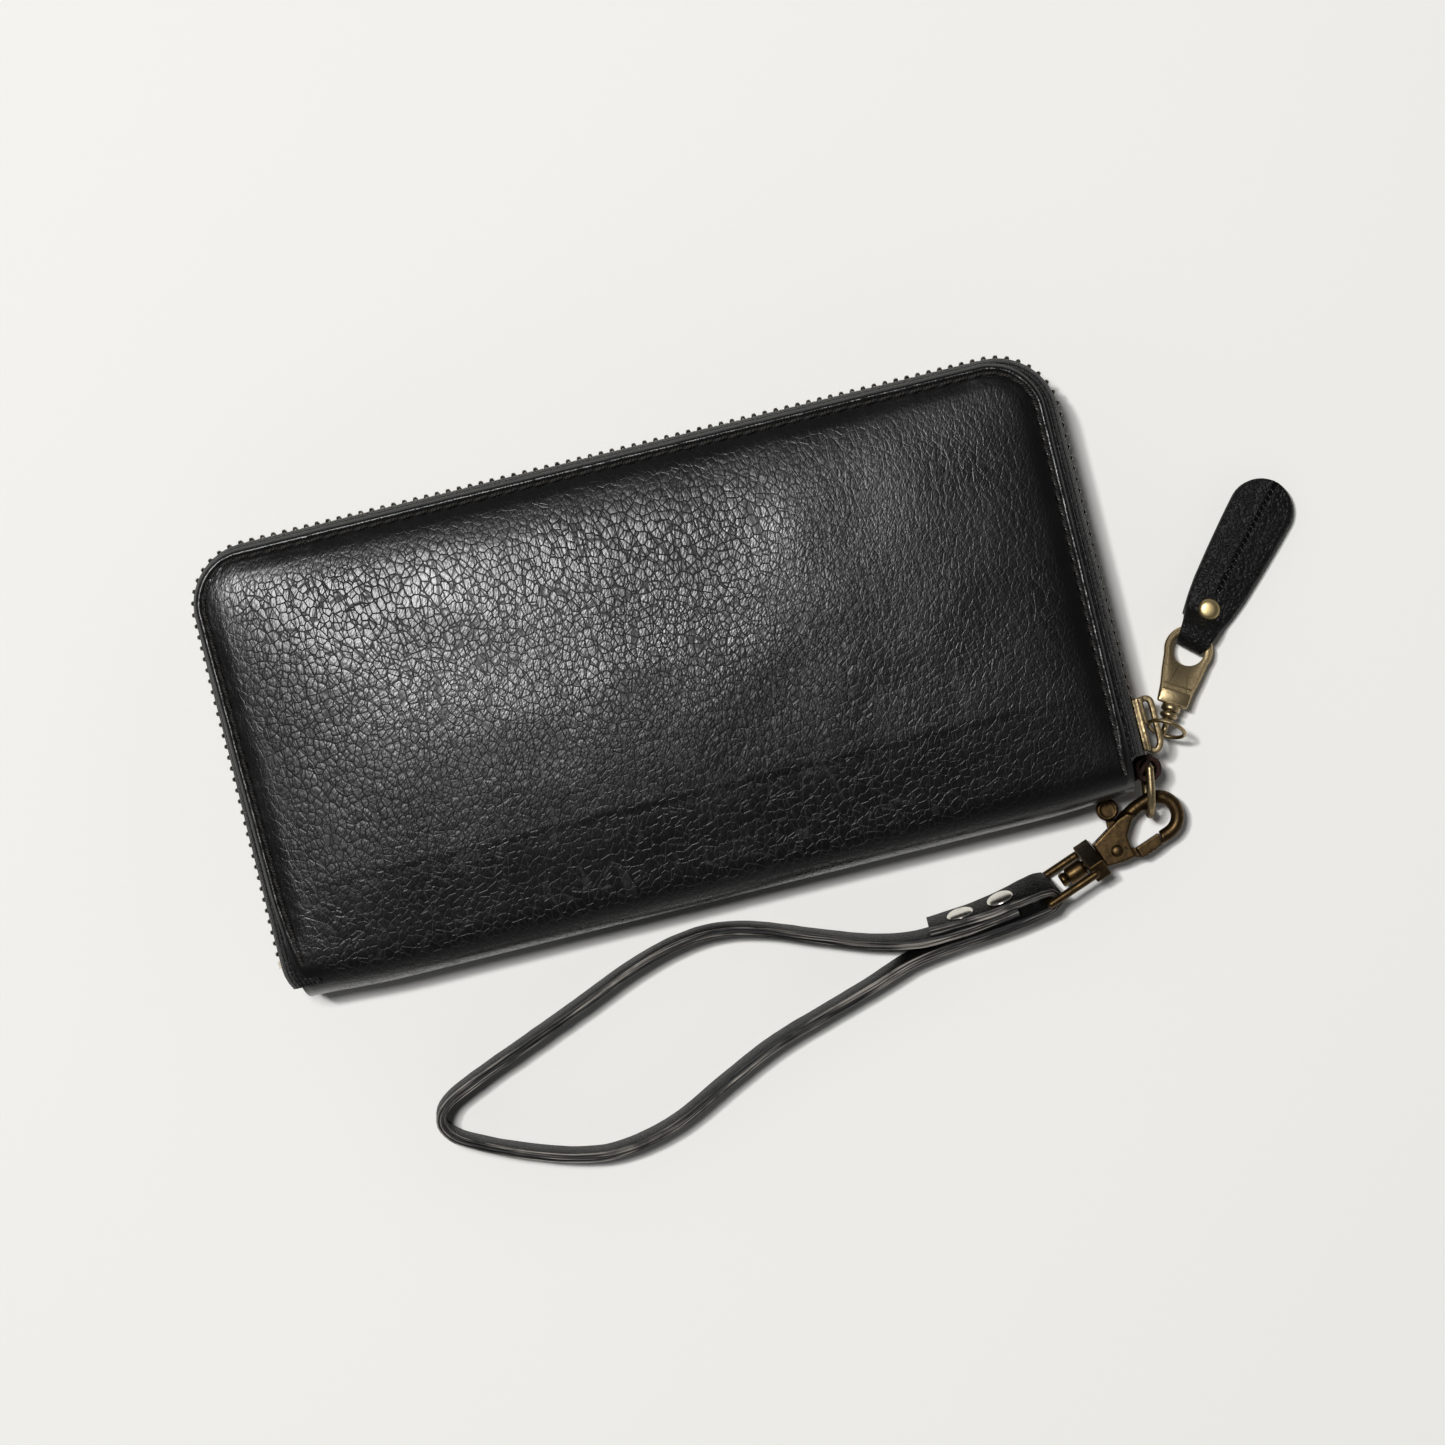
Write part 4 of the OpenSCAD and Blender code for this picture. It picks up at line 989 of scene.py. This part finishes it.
class WALLET_OT_zip(bpy.types.Operator):
    """The two zip tapes and their interlocking rows of metal teeth"""
    bl_idname = "wallet.zip"
    bl_label = "Zip"

    def execute(self, context):
        # (outward, height over the middle): a flange under the leather, rolled down to a corded edge.
        tape = [(-6.4, 10.15), (-3.2, 10.15), (-1.6, 10.1), (-0.5, 9.55), (0.2, 8.3), (0.5, 6.6), (0.45, 4.9),
                (0.42, 3.6), (0.75, 3.1), (0.78, 2.5), (0.5, 2.05), (0, 1.9), (-0.5, 2.05), (-0.78, 2.5),
                (-0.75, 3.1), (-0.36, 3.6), (-0.3, 4.9), (-0.3, 6.5), (-0.65, 7.9), (-1.25, 8.85), (-2.1, 9.4),
                (-3.2, 9.42), (-6.4, 9.42)]
        runs = []
        run = 0.3
        while run < CHAIN_L + TAIL - 0.3:
            runs.append(run)
            run += 1.6
        tooth = [(-1.15, 3.3), (-1.2, 1.7), (-1.0, 0.95), (-0.62, 0.45), (-0.6, -0.25), (-0.3, -0.5), (0.3, -0.5),
                 (0.6, -0.25), (0.62, 0.45), (1.0, 0.95), (1.2, 1.7), (1.15, 3.3), (0.85, 3.5), (0.72, 2.4),
                 (-0.72, 2.4), (-0.85, 3.5)]
        count = int(CHAIN_L // TOOTH_PITCH)
        for body, side in (("front", 1), ("back", -1)):
            band = Shape()
            stations = []
            for run in runs:
                x, y, way, out = chain_at(run)
                sway = 0.12 * noise.noise(Vector((run * 0.06, side, 0)))
                stations.append((Vector((x, y, MID_Z)) + out * (sway - 0.32), out, UP * side))
            band.sweep(stations, tape)
            place_in(band.make(body + "_tape", [woven_tape()], 50), body, [body + "_zip_tape"])
            row = Shape()
            for n in range(1, count - 1):
                run = (n + (0.75 if side > 0 else 0.25)) * TOOTH_PITCH + 1.2
                x, y, way, out = chain_at(run)
                along = Vector((math.cos(way), math.sin(way), 0))
                rows = []
                stand = 1.0 if side > 0 else 0.74
                for t, size in ((-0.56, 0.62), (-0.48, 0.84), (-0.3, 1.0), (0.3, 1.0), (0.48, 0.84), (0.56, 0.62)):
                    rows.append([Vector((x, y, MID_Z)) + along * t + out * (a * size * stand - 0.02)
                                 + UP * side * (1.6 + (h - 1.6) * size) for a, h in tooth])
                row.grid(rows, True)
            place_in(row.make(body + "_teeth", [tooth_metal()], 30), body, [body + "_zip_teeth"])
        return {"FINISHED"}


# ---- inside ----

def board(name, outline, low, high, finish):
    """A thin leather panel with a softly turned edge."""
    shape = Shape()
    shape.slab(outline, low, high, min(0.3, (high - low) * 0.42))
    return shape.make(name, [finish], 35)


class WALLET_OT_inside(bpy.types.Operator):
    """Lining, stepped card pockets and the folded gussets"""
    bl_idname = "wallet.inside"
    bl_label = "Inside"

    def execute(self, context):
        lining = lining_leather()
        for body, side in (("front", 1), ("back", -1)):
            low, high = node_box(body + "_lining")
            # The panel stops short of the spine, where the hide starts to roll.
            outline = rounded_rect(low.x, max(low.y, -44.5), high.x, high.y, 7)
            panel = board(body + "_lining_panel", outline, low.z, high.z, lining)
            place_in(panel, body, [body + "_lining"])
            for n in range(1, 5):
                node = f"{body}_slot_{n}"
                low, high = node_box(node)
                pocket = Shape()
                pocket.slab(rounded_rect(low.x, low.y, high.x, high.y, 1.6), low.z + 0.04, high.z - 0.04, 0.22)
                # The pocket's mouth is a turned edge with a stitched line under it.
                face = high.z - 0.04 if side < 0 else low.z + 0.04
                lift = -side
                for y, x0, x1 in ((high.y - 1.6, low.x + 3, high.x - 3),):
                    x = x0
                    while x < x1:
                        line = [Vector((x + t * 2.2, y, face + lift * (0.05 - 0.12 * abs(t * 2) ** 3)))
                                for t in (-0.5, -0.25, 0, 0.25, 0.5)]
                        pocket.tube(line, 0.16, 6, 1)
                        x += 2.8
                place_in(pocket.make(f"{body}_card_pocket_{n}", [lining, thread()], 35), body, [node])
        for name, sign in (("left_gusset", -1), ("right_gusset", 1)):
            low, high = node_box(name)
            fold, wide = (low.x, high.x) if sign > 0 else (high.x, low.x)
            fan = Shape()
            rows = []
            steps = 24
            for j in range(13):
                y = mix(low.y, high.y, j / 12)
                pleat = []
                for i in range(steps + 1):
                    t = i / steps
                    depth = abs(2 * t - 1) ** 1.25
                    pleat.append((mix(fold + sign * 0.1, wide - sign * 0.5, depth), y, mix(low.z, high.z, t)))
                back = [(x + sign * 0.55, y, z) for x, y, z in reversed(pleat)]
                rows.append(pleat + back)
            fan.grid(rows, True)
            piece = fan.make(name + "_leather", [lining], 50)
            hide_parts(name)
            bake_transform(piece)
        return {"FINISHED"}


class WALLET_OT_coin_pocket(bpy.types.Operator):
    """The zipped coin pocket that divides the wallet"""
    bl_idname = "wallet.coin_pocket"
    bl_label = "Coin pocket"

    def execute(self, context):
        lining = lining_leather()
        for node in ("coin_pocket_back", "coin_pocket_front"):
            low, high = node_box(node)
            wall = Shape()
            if node == "coin_pocket_back":
                wall.slab(rounded_rect(low.x, low.y, high.x, high.y, 2.5), low.z, low.z + 0.8, 0.25)
                for x in (low.x, high.x - 1.6):
                    wall.slab(rounded_rect(x, low.y, x + 1.6, high.y - 10, 0.6), low.z + 0.7, high.z, 0.3)
                wall.slab(rounded_rect(low.x, low.y, high.x, low.y + 1.6, 0.6), low.z + 0.7, high.z, 0.3)
            else:
                wall.slab(rounded_rect(low.x, low.y, high.x, high.y, 2.5), low.z, high.z, 0.25)
            place_in(wall.make(node + "_wall", [lining], 35), "divider", [node])
        low, high = node_box("coin_zip_tape")
        tape = Shape()
        stations = [(Vector((mix(low.x, high.x, i / 60), 0, MID_Z)), Vector((0, 1, 0)), UP) for i in range(61)]
        tape.sweep(stations, [(low.y, -1.5), (low.y + 3.4, -1.5), (low.y + 4.6, -0.5), (high.y, -0.45),
                              (high.y + 0.3, 0), (high.y, 0.45), (low.y + 4.6, 0.5), (low.y + 3.4, 1.5), (low.y, 1.5)])
        place_in(tape.make("coin_tape", [woven_tape()], 40), "divider", ["coin_zip_tape"])
        low, high = node_box("coin_zip_teeth")
        row = Shape()
        n, x = 0, low.x + 0.6
        while x < high.x - 0.3:
            lean = 0.25 if n % 2 else -0.25
            row.slab(rounded_rect(x - 0.45, low.y + 0.1 + lean * 0.4, x + 0.45, high.y - 0.1 + lean * 0.4, 0.25, 2),
                     MID_Z - 1.0, MID_Z + 1.0, 0.22)
            x += 1.1
            n += 1
        place_in(row.make("coin_teeth", [tooth_metal()], 35), "divider", ["coin_zip_teeth"])
        brass = antique_brass()
        place_in(cast("coin_slider_body", ["coin_slider"], 0.16, 3, brass), "coin_slider", ["coin_slider"])
        place_in(cast("coin_pull_tag", ["coin_pull"], 0.16, 3, brass), "coin_pull", ["coin_pull"])
        return {"FINISHED"}


# ---- slider and puller ----

SLIDER_Y = joint_point("pull_ring_turn").y + 0.3
EYE = joint_point("puller_lift")
RIM = joint_point("tab_lift")
PULL_TURN = math.radians(58.4)
PULL_PITCH = math.asin((EYE.z - RIM.z) / (18.8 + 4.6))
TAB_TURN = math.radians(48.3)
ALONG_PULLER = (Matrix.Translation(EYE) @ Matrix.Rotation(PULL_TURN, 4, "Z") @ Matrix.Rotation(PULL_PITCH, 4, "Y"))
RIVET_AT = Vector((RIM.x + 6.2 * math.cos(TAB_TURN), RIM.y + 6.2 * math.sin(TAB_TURN), 0))
ALONG_TAB = Matrix.Translation(RIVET_AT) @ Matrix.Rotation(TAB_TURN, 4, "Z")


RING_LEAN = math.radians(20)


class WALLET_OT_slider(bpy.types.Operator):
    """The zip slider, its bridge and the ring that hangs in it"""
    bl_idname = "wallet.slider"
    bl_label = "Slider"

    def execute(self, context):
        brass = antique_brass()
        at = Matrix.Translation((CHAIN_X, SLIDER_Y, MID_Z))
        stand = at @ Matrix.Rotation(math.pi / 2, 4, "Y")
        body = Shape()
        for inner, outer in ((1.42, 2.3), (-2.3, -1.42)):
            # Seen from the side: wide where the rows part, narrow where they close.
            plate = [(-4.3, -6.0), (4.3, -6.0), (4.5, -3.6), (3.6, 2.6), (3.3, 6.0), (-3.3, 6.0), (-3.6, 2.6),
                     (-4.5, -3.6)]
            body.slab(plate, inner, outer, 0.3, place=stand)
            flange_at = -1.42 if inner < 0 else 0.62
            for side in (1, -1):
                lip = [(side * 3.75, -5.7), (side * 4.35, -5.7), (side * 4.5, -3.6), (side * 3.55, 2.4),
                       (side * 3.3, 5.8), (side * 2.75, 5.8), (side * 3.0, 2.4), (side * 3.9, -3.6)]
                body.slab(lip, flange_at, flange_at + 0.9, 0.2, place=stand)
        body.slab([(-0.18, -5), (0.18, -5), (0.18, -0.6), (-0.18, -0.6)], -1.6, 1.6, 0.05, place=stand)
        place_in(soften("slider_body", body, 0.14, 4, brass), "zip_slider", ["zip_slider"])
        bridge = Shape()
        # A block stands on the outer plate; the bridge springs from it and ends in a blunt nose.
        bridge.slab(rounded_rect(-0.3, -1.7, 6.0, 1.7, 0.4, 3), 2.1, 3.3, 0.25,
                    place=at @ Matrix(((0, 0, 1, 0), (1, 0, 0, 0), (0, 1, 0, 0), (0, 0, 0, 1))))
        line = smooth_line([(2.9, 5.3, 0), (4.0, 5.5, 0), (4.9, 4.9, 0), (5.15, 3.4, 0), (5.15, 0, 0), (5.15, -3.6, 0),
                            (4.8, -5.4, 0), (3.9, -6.3, 0), (2.9, -6.1, 0), (2.2, -5.2, 0)], 0.4)
        stations = stations_along(line)
        bridge.sweep(stations, rounded_rect(-0.68, -1.25, 0.68, 1.25, 0.35, 3), place=at)
        place_in(soften("slider_bridge", bridge, 0.14, 3, brass), "zip_slider", ["slider_crown"])
        # The split ring hangs a little to one side of upright.
        low, high = node_box("pull_ring")
        middle = (low + high) / 2
        reach = Vector((high.x - low.x, low.y - high.y, 0))
        radius = reach.length / 2 - 0.45
        chord = reach.normalized()
        stand = (UP * math.cos(RING_LEAN) + UP.cross(chord) * math.sin(RING_LEAN)).normalized()
        wire = Shape()
        turns = [middle + chord * (radius * math.cos(math.radians(a))) + stand * (radius * math.sin(math.radians(a)))
                 for a in range(0, 361, 6)]
        wire.tube(turns, 0.45, 14)
        place_in(wire.make("pull_ring_wire", [brass], 60), "pull_ring", ["pull_ring"])
        return {"FINISHED"}


def soften(name, shape, voxel, rounds, finish):
    """A shape made into one cast or stamped piece with softened edges."""
    piece = shape.make(name, [finish])
    skin = piece.modifiers.new("skin", "REMESH")
    skin.mode = "VOXEL"
    skin.voxel_size = voxel * MM
    smooth = piece.modifiers.new("soften", "SMOOTH")
    smooth.factor = 0.5
    smooth.iterations = rounds
    settle(piece)
    piece.data.materials.clear()
    piece.data.materials.append(finish)
    piece.data.shade_smooth()
    return piece


class WALLET_OT_puller(bpy.types.Operator):
    """The turned neck and the stamped plate of the puller, its face left plain"""
    bl_idname = "wallet.puller"
    bl_label = "Puller"

    def execute(self, context):
        brass = antique_brass()
        neck = Shape()
        ring = [(1.35 * math.cos(math.radians(a)), 0, 1.35 * math.sin(math.radians(a))) for a in range(0, 361, 12)]
        neck.tube(ring[:-1] + [ring[0]], 0.52, 12, place=ALONG_PULLER)
        turned = [(0.02, 1.2), (1.3, 1.25), (1.55, 1.6), (1.5, 2.1), (1.2, 2.4), (1.3, 2.6), (1.85, 2.75), (2.0, 3.05),
                  (2.0, 3.5), (1.8, 3.75), (1.45, 3.9), (1.5, 4.1), (2.05, 4.25), (2.2, 4.55), (2.2, 5.3), (2.0, 5.6),
                  (1.2, 5.85), (0.02, 5.9)]
        lay = ALONG_PULLER @ Matrix.Rotation(math.pi / 2, 4, "Y")
        neck.lathe(turned, 32, place=lay)
        place_in(neck.make("puller_neck", [brass], 50), "puller", ["pull_neck"])
        plate = Shape()
        head_x, head_r, hole_r = 18.8, 5.5, 3.7
        outline = ([(5.8, -3.5), (9.5, -3.85), (13, -4.55)] + arc(head_x, 0, head_r, -112, 112, 40)
                   + [(13, 4.55), (9.5, 3.85), (5.8, 3.5)])
        outer_count, rows = 96, []
        head = resample(outline, outer_count)
        rim = [(head_x + hole_r * math.cos(a), hole_r * math.sin(a)) for a in
               [math.atan2(y, x - head_x) for x, y in head]]
        for level, cut in ((-0.75, 0.28), (-0.47, 0.0), (0.47, 0.0), (0.75, 0.28)):
            rows.append([(x, y, level) for x, y in inset(head, cut)])
        middle = [(x, y, 0.75) for x, y in blend_lines(inset(head, 0.8), rim, 0.15)]
        rows.append(middle)
        rows.append([(mix(18.8, x, 1.12), mix(0, y, 1.12), 0.75) for x, y in rim])
        rows.append([(x, y, 0.5) for x, y in rim])
        rows.append([(x, y, -0.5) for x, y in rim])
        rows.append([(mix(18.8, x, 1.1), mix(0, y, 1.1), -0.75) for x, y in rim])
        plate.grid(rows + [rows[0]], True, False, place=ALONG_PULLER)
        bead = [(x, y, 0.72) for x, y in inset(head, 0.55) if x > 10]
        plate.tube(bead, 0.17, 6, place=ALONG_PULLER)
        plate.slab(rounded_rect(5.7, -3.4, 9.0, 3.4, 0.5, 3), -0.72, 1.15, 0.3, place=ALONG_PULLER)
        plate.tube([(10.1, -3.2, 0.72), (10.1, 0, 0.74), (10.1, 3.2, 0.72)], 0.22, 8, place=ALONG_PULLER)
        place_in(plate.make("puller_plate", [brass], 40), "puller", ["pull_plate"])
        return {"FINISHED"}


def resample(outline, count):
    """A closed outline as that many evenly spaced points."""
    closed = [Vector(p) for p in outline] + [Vector(outline[0])]
    marks = [0.0]
    for a, b in zip(closed, closed[1:]):
        marks.append(marks[-1] + (b - a).length)
    out, k = [], 0
    for i in range(count):
        run = marks[-1] * i / count
        while marks[k + 1] < run:
            k += 1
        t = (run - marks[k]) / max(1e-9, marks[k + 1] - marks[k])
        p = closed[k].lerp(closed[k + 1], t)
        out.append((p.x, p.y))
    return out


def blend_lines(one, two, t):
    return [(mix(a[0], b[0], t), mix(a[1], b[1], t)) for a, b in zip(one, two)]


class WALLET_OT_pull_tab(bpy.types.Operator):
    """The leather pull tab, folded through the plate's hole, seamed and riveted"""
    bl_idname = "wallet.pull_tab"
    bl_label = "Pull tab"

    def execute(self, context):
        length, half = 32.5, 7.2
        outline = [(-3.4, 4.7), (-1.5, 5.1), (1, 5.6), (5, 6.15), (12, 6.65), (20, 7.05), (25.3, 7.2)]
        xs = [-3.4 + i * 0.58 for i in range(50)]
        xs += [25.3 + half * math.sin(math.radians(a)) for a in range(6, 90, 6)]
        xs += [32.42, 32.49]

        def half_width(x):
            if x > length - half:
                return math.sqrt(max(0.002, half ** 2 - (x - length + half) ** 2))
            return table_value(outline, x)

        leather, edge = tab_leather(), cut_edge("waxed_tab_edge")
        tab = Shape()
        for layer, (low, high) in enumerate(((0.62, 2.16), (2.2, 3.85))):
            rows = []
            for x in xs:
                w = half_width(x)
                puff = 0.28 * ease((x + 2) / 6) if layer else 0.0
                row = []
                spread = [-1, -0.97, -0.92, -0.85, -0.7, -0.5, -0.3, -0.16, -0.09, -0.04, 0, 0.04, 0.09, 0.16, 0.3,
                          0.5, 0.7, 0.85, 0.92, 0.97, 1]
                for s in spread:
                    y = s * w
                    d = w - abs(y)
                    rim = 0.55 * (1 - math.sin(min(1, max(0, d) / 0.8) * math.pi / 2))
                    groove = 0.0
                    if layer:
                        sunk, raised = math.exp(-(y / 0.26) ** 2), math.exp(-((abs(y) - 0.8) / 0.5) ** 2)
                        groove = (0.42 * sunk - 0.16 * raised) * ease((x - 2.6) / 3)
                    bumpy = (0.12 * noise.noise(Vector((x * 0.25, y * 0.3, layer * 4.0)))
                             + 0.09 * noise.noise(Vector((x * 1.4, y * 1.1, 2.0))) * math.exp(-(x / 7) ** 2))
                    row.append((x, y, high - rim + puff * (1 - (y / w) ** 2) - groove + bumpy * min(1, d / 2)))
                for s in reversed(spread):
                    y = s * w
                    d = w - abs(y)
                    row.append((x, y, low + 0.45 * (1 - math.sin(min(1, max(0, d) / 0.6) * math.pi / 2))))
                rows.append(row)
            tab.grid(rows, True)
        line = smooth_line([(0.6, 0, 3.05), (-1.6, 0, 3.3), (-3.2, 0, 4.3), (-4.6, 0, 5.45), (-6.4, 0, 5.85),
                            (-8.2, 0, 5.45), (-9.3, 0, 4.2), (-9.5, 0, 2.9), (-8.7, 0, 1.85), (-7.2, 0, 1.4),
                            (-4.5, 0, 1.38), (-1.5, 0, 1.38), (0.6, 0, 1.38)], 0.5)
        stations = stations_along(line, Vector((0, 1, 0)))
        widths = [(0, 5.0), (3, 4.9), (6, 4.3), (9, 3.7), (12, 3.1), (14, 2.9), (17, 3.0), (21, 4.2), (24, 4.9)]
        run, marks = 0.0, [0.0]
        for a, b in zip(line, line[1:]):
            run += (b - a).length
            marks.append(run)

        def band(i):
            w = table_value(widths, marks[i])
            return rounded_rect(-0.6, -w, 0.6, w, 0.45, 4)

        tab.sweep(stations, band)
        tab.points = [ALONG_TAB @ Vector(p) for p in tab.points]
        seam = Shape()
        x = 4.6
        while x < length - 1.2:
            slant = 0.25 + 0.2 * noise.noise(Vector((x, 0.0, 6.0)))
            seam.tube([(x - slant, -0.75, 3.93), (x - slant / 2, -0.3, 4.05), (x + slant / 2, 0.3, 4.05),
                       (x + slant, 0.75, 3.93)], 0.15, 6, place=ALONG_TAB)
            x += 1.35
        place_in(seam.make("pull_tab_stitches", [thread()], 60), "pull_tab", ())
        piece = tab.make("pull_tab_leather", [leather, edge], 50)
        place_in(piece, "pull_tab", ["pull_tab"])
        stud = Shape()
        dome = [(0.02, 4.88), (0.6, 4.87), (1.2, 4.82), (1.7, 4.72), (2.1, 4.56), (2.38, 4.32), (2.5, 4.05),
                (2.48, 3.85), (1.0, 3.8), (1.0, 0.7), (2.0, 0.6), (2.0, 0.2), (1.8, 0.05), (0.02, 0.05)]
        stud.lathe(dome, 48, place=ALONG_TAB)
        place_in(stud.make("pull_tab_rivet", [bright_brass()], 50), "pull_tab", ["tab_rivet"])
        return {"FINISHED"}


# ---- ring loop, D-ring and clasp ----

D_PIVOT = joint_point("d_ring_swing")
CLASP_MID = joint_point("clasp_swivel")
ALONG_CLASP = Matrix.Translation(CLASP_MID) @ Matrix.Rotation(CLASP_TURN, 4, "Z")
BAIL_ROLL = ALONG_CLASP @ Matrix.Rotation(math.radians(28), 4, "X")


class WALLET_OT_ring_loop(bpy.types.Operator):
    """The rolled leather loop at the end of the spine, and the D-ring on it"""
    bl_idname = "wallet.ring_loop"
    bl_label = "Ring loop"

    def execute(self, context):
        low, high = node_box("ring_loop")
        spiral = []
        for a in range(0, 451, 10):
            r = 1.62 + 0.52 + 0.0013 * a
            turn = math.radians(150 - a)
            spiral.append((D_PIVOT.x + r * math.cos(turn), D_PIVOT.y + r * math.sin(turn), 0))
        tail = [(low.x, low.y + 1.2, 0), (low.x + 3.5, low.y + 1.25, 0), (low.x + 6.5, low.y + 1.6, 0)]
        line = smooth_line(tail + spiral[8:], 0.5)
        mid = (low.z + high.z) / 2
        roll = Shape()
        stations = [(Vector((p.x, p.y, mid)), side, UP) for p, side, up in stations_along(line)]
        tall = (high.z - low.z) / 2
        roll.sweep(stations, lambda i: [(a, b + 0.12 * noise.noise(Vector((i * 0.2, a, 0))))
                                        for a, b in rounded_rect(-0.55, -tall, 0.55, tall, 0.3, 4)])
        raw = smooth_leather("raw_flesh_side_leather", linear("#2a1712"), 0.62, 0.0005, 0.0001)
        place_in(roll.make("ring_loop_leather", [raw], 50), "back", ["ring_loop"])
        ring = frame["nodes"]["d_ring"]
        ring.data.materials.clear()
        ring.data.materials.append(antique_brass())
        for node in ("front_end_stops", "back_end_stops", "gate_spring"):
            piece = frame["nodes"][node]
            piece.data.materials.clear()
            piece.data.materials.append(tooth_metal())
        return {"FINISHED"}


class WALLET_OT_clasp(bpy.types.Operator):
    """The trigger clasp: cast hook, gate lever with its thumb paddle, swivel and bail"""
    bl_idname = "wallet.clasp"
    bl_label = "Clasp"

    def execute(self, context):
        brass = dark_brass()
        more = Shape()
        # A neck runs the round bar of the hook smoothly into the two cheeks.
        neck = smooth_line([(7.6, 2.9, 0), (9.4, 3.3, 0), (11.5, 3.9, 0), (14, 4.35, 0)], 0.4)
        more.tube(neck, 1.62, 20, place=ALONG_CLASP)
        piece = cast("clasp_hook", ["clasp_body"], 0.19, 7, brass, more)
        place_in(piece, "clasp", ["clasp_body"])
        swivel = Shape()
        turned = [(0.02, -8.7), (1.3, -8.68), (1.62, -8.4), (1.7, -7.9), (1.55, -7.5), (1.35, -7.1), (1.5, -6.9),
                  (2.05, -6.8), (2.2, -6.4), (2.2, -3.4), (2.1, -2.8), (1.9, -2.6), (1.3, -2.55),
                  (1.3, 1.6), (0.02, 1.7)]
        swivel.lathe(turned, 40, place=ALONG_CLASP @ Matrix.Rotation(math.pi / 2, 4, "Y"))
        place_in(swivel.make("clasp_swivel_post", [brass], 50), "clasp", ["swivel_post"])
        lever = Shape()
        # A raised rim on both faces of the round thumb paddle.
        for z in (1.25, -1.25):
            ring = [(8.8 + 1.95 * math.cos(math.radians(a)), 7.6 + 1.95 * math.sin(math.radians(a)), z)
                    for a in range(0, 361, 15)]
            lever.tube(ring, 0.3, 8, place=ALONG_CLASP)
        # Steps cut into the gate's outer edge give the thumb a grip.
        for x in (10.6, 11.7, 12.8):
            lever.tube([(x, -5.65, -1.1), (x, -5.65, 1.1)], 0.38, 8, place=ALONG_CLASP)
        piece = cast("clasp_gate", ["gate_lever"], 0.16, 4, brass, lever)
        place_in(piece, "gate", ["gate_lever"])
        rivet = Shape()
        at = ALONG_CLASP @ Matrix.Translation((5.4, -1.2, 0))
        rivet.lathe([(0.02, 2.95), (0.6, 2.92), (1.05, 2.8), (1.32, 2.6), (1.38, 2.5), (0.88, 2.45), (0.88, -2.45),
                     (1.38, -2.5), (1.32, -2.6), (1.05, -2.8), (0.02, -2.95)], 32, place=at)
        place_in(rivet.make("clasp_gate_rivet", [brass], 50), "clasp", ["gate_rivet"])
        wire = Shape()
        half = 5.6
        line = smooth_line([(-1.2, 0, half - 1.2), (-1.6, 0, half - 0.3), (-3, 0, half), (-8, 0, half),
                            (-12.4, 0, half), (-13.4, 0, half - 0.6), (-13.6, 0, half - 1.6), (-13.6, 0, 0),
                            (-13.6, 0, 1.6 - half), (-13.4, 0, 0.6 - half), (-12.4, 0, -half), (-8, 0, -half),
                            (-3, 0, -half), (-1.6, 0, 0.3 - half), (-1.2, 0, 1.2 - half)], 0.5)
        wire.tube(line, 0.97, 16, place=BAIL_ROLL)
        piece = cast("clasp_bail_wire", ["clasp_bail"], 0.18, 6, brass, wire)
        place_in(piece, "bail", ["clasp_bail"])
        return {"FINISHED"}


class WALLET_PT_pieces(bpy.types.Panel):
    """Makes the wallet piece by piece"""
    bl_label = "Wristlet wallet"
    bl_space_type = "VIEW_3D"
    bl_region_type = "UI"
    bl_category = "Wallet"

    def draw(self, context):
        layout = self.layout
        for group in (context.scene.wallet_leather, context.scene.wallet_metal, context.scene.wallet_stage):
            box = layout.box()
            for name in group.__annotations__:
                box.prop(group, name)
        for operator in OPERATORS:
            layout.operator(operator.bl_idname)


OPERATORS = [WALLET_OT_stage, WALLET_OT_strap, WALLET_OT_outer_leather, WALLET_OT_stitching, WALLET_OT_zip,
             WALLET_OT_inside, WALLET_OT_coin_pocket, WALLET_OT_slider, WALLET_OT_puller, WALLET_OT_pull_tab,
             WALLET_OT_ring_loop, WALLET_OT_clasp]
GROUPS = {"wallet_leather": WalletLeather, "wallet_metal": WalletMetal, "wallet_stage": WalletStage}


def register():
    for name, group in GROUPS.items():
        bpy.utils.register_class(group)
        setattr(bpy.types.Scene, name, bpy.props.PointerProperty(type=group))
    for item in [*OPERATORS, WALLET_PT_pieces]:
        bpy.utils.register_class(item)


def unregister():
    for item in [WALLET_PT_pieces, *reversed(OPERATORS)]:
        bpy.utils.unregister_class(item)
    for name, group in GROUPS.items():
        delattr(bpy.types.Scene, name)
        bpy.utils.unregister_class(group)


def main():
    register()
    for operator in OPERATORS:
        group, name = operator.bl_idname.split(".")
        getattr(getattr(bpy.ops, group), name)()


if __name__ == "__main__":
    main()
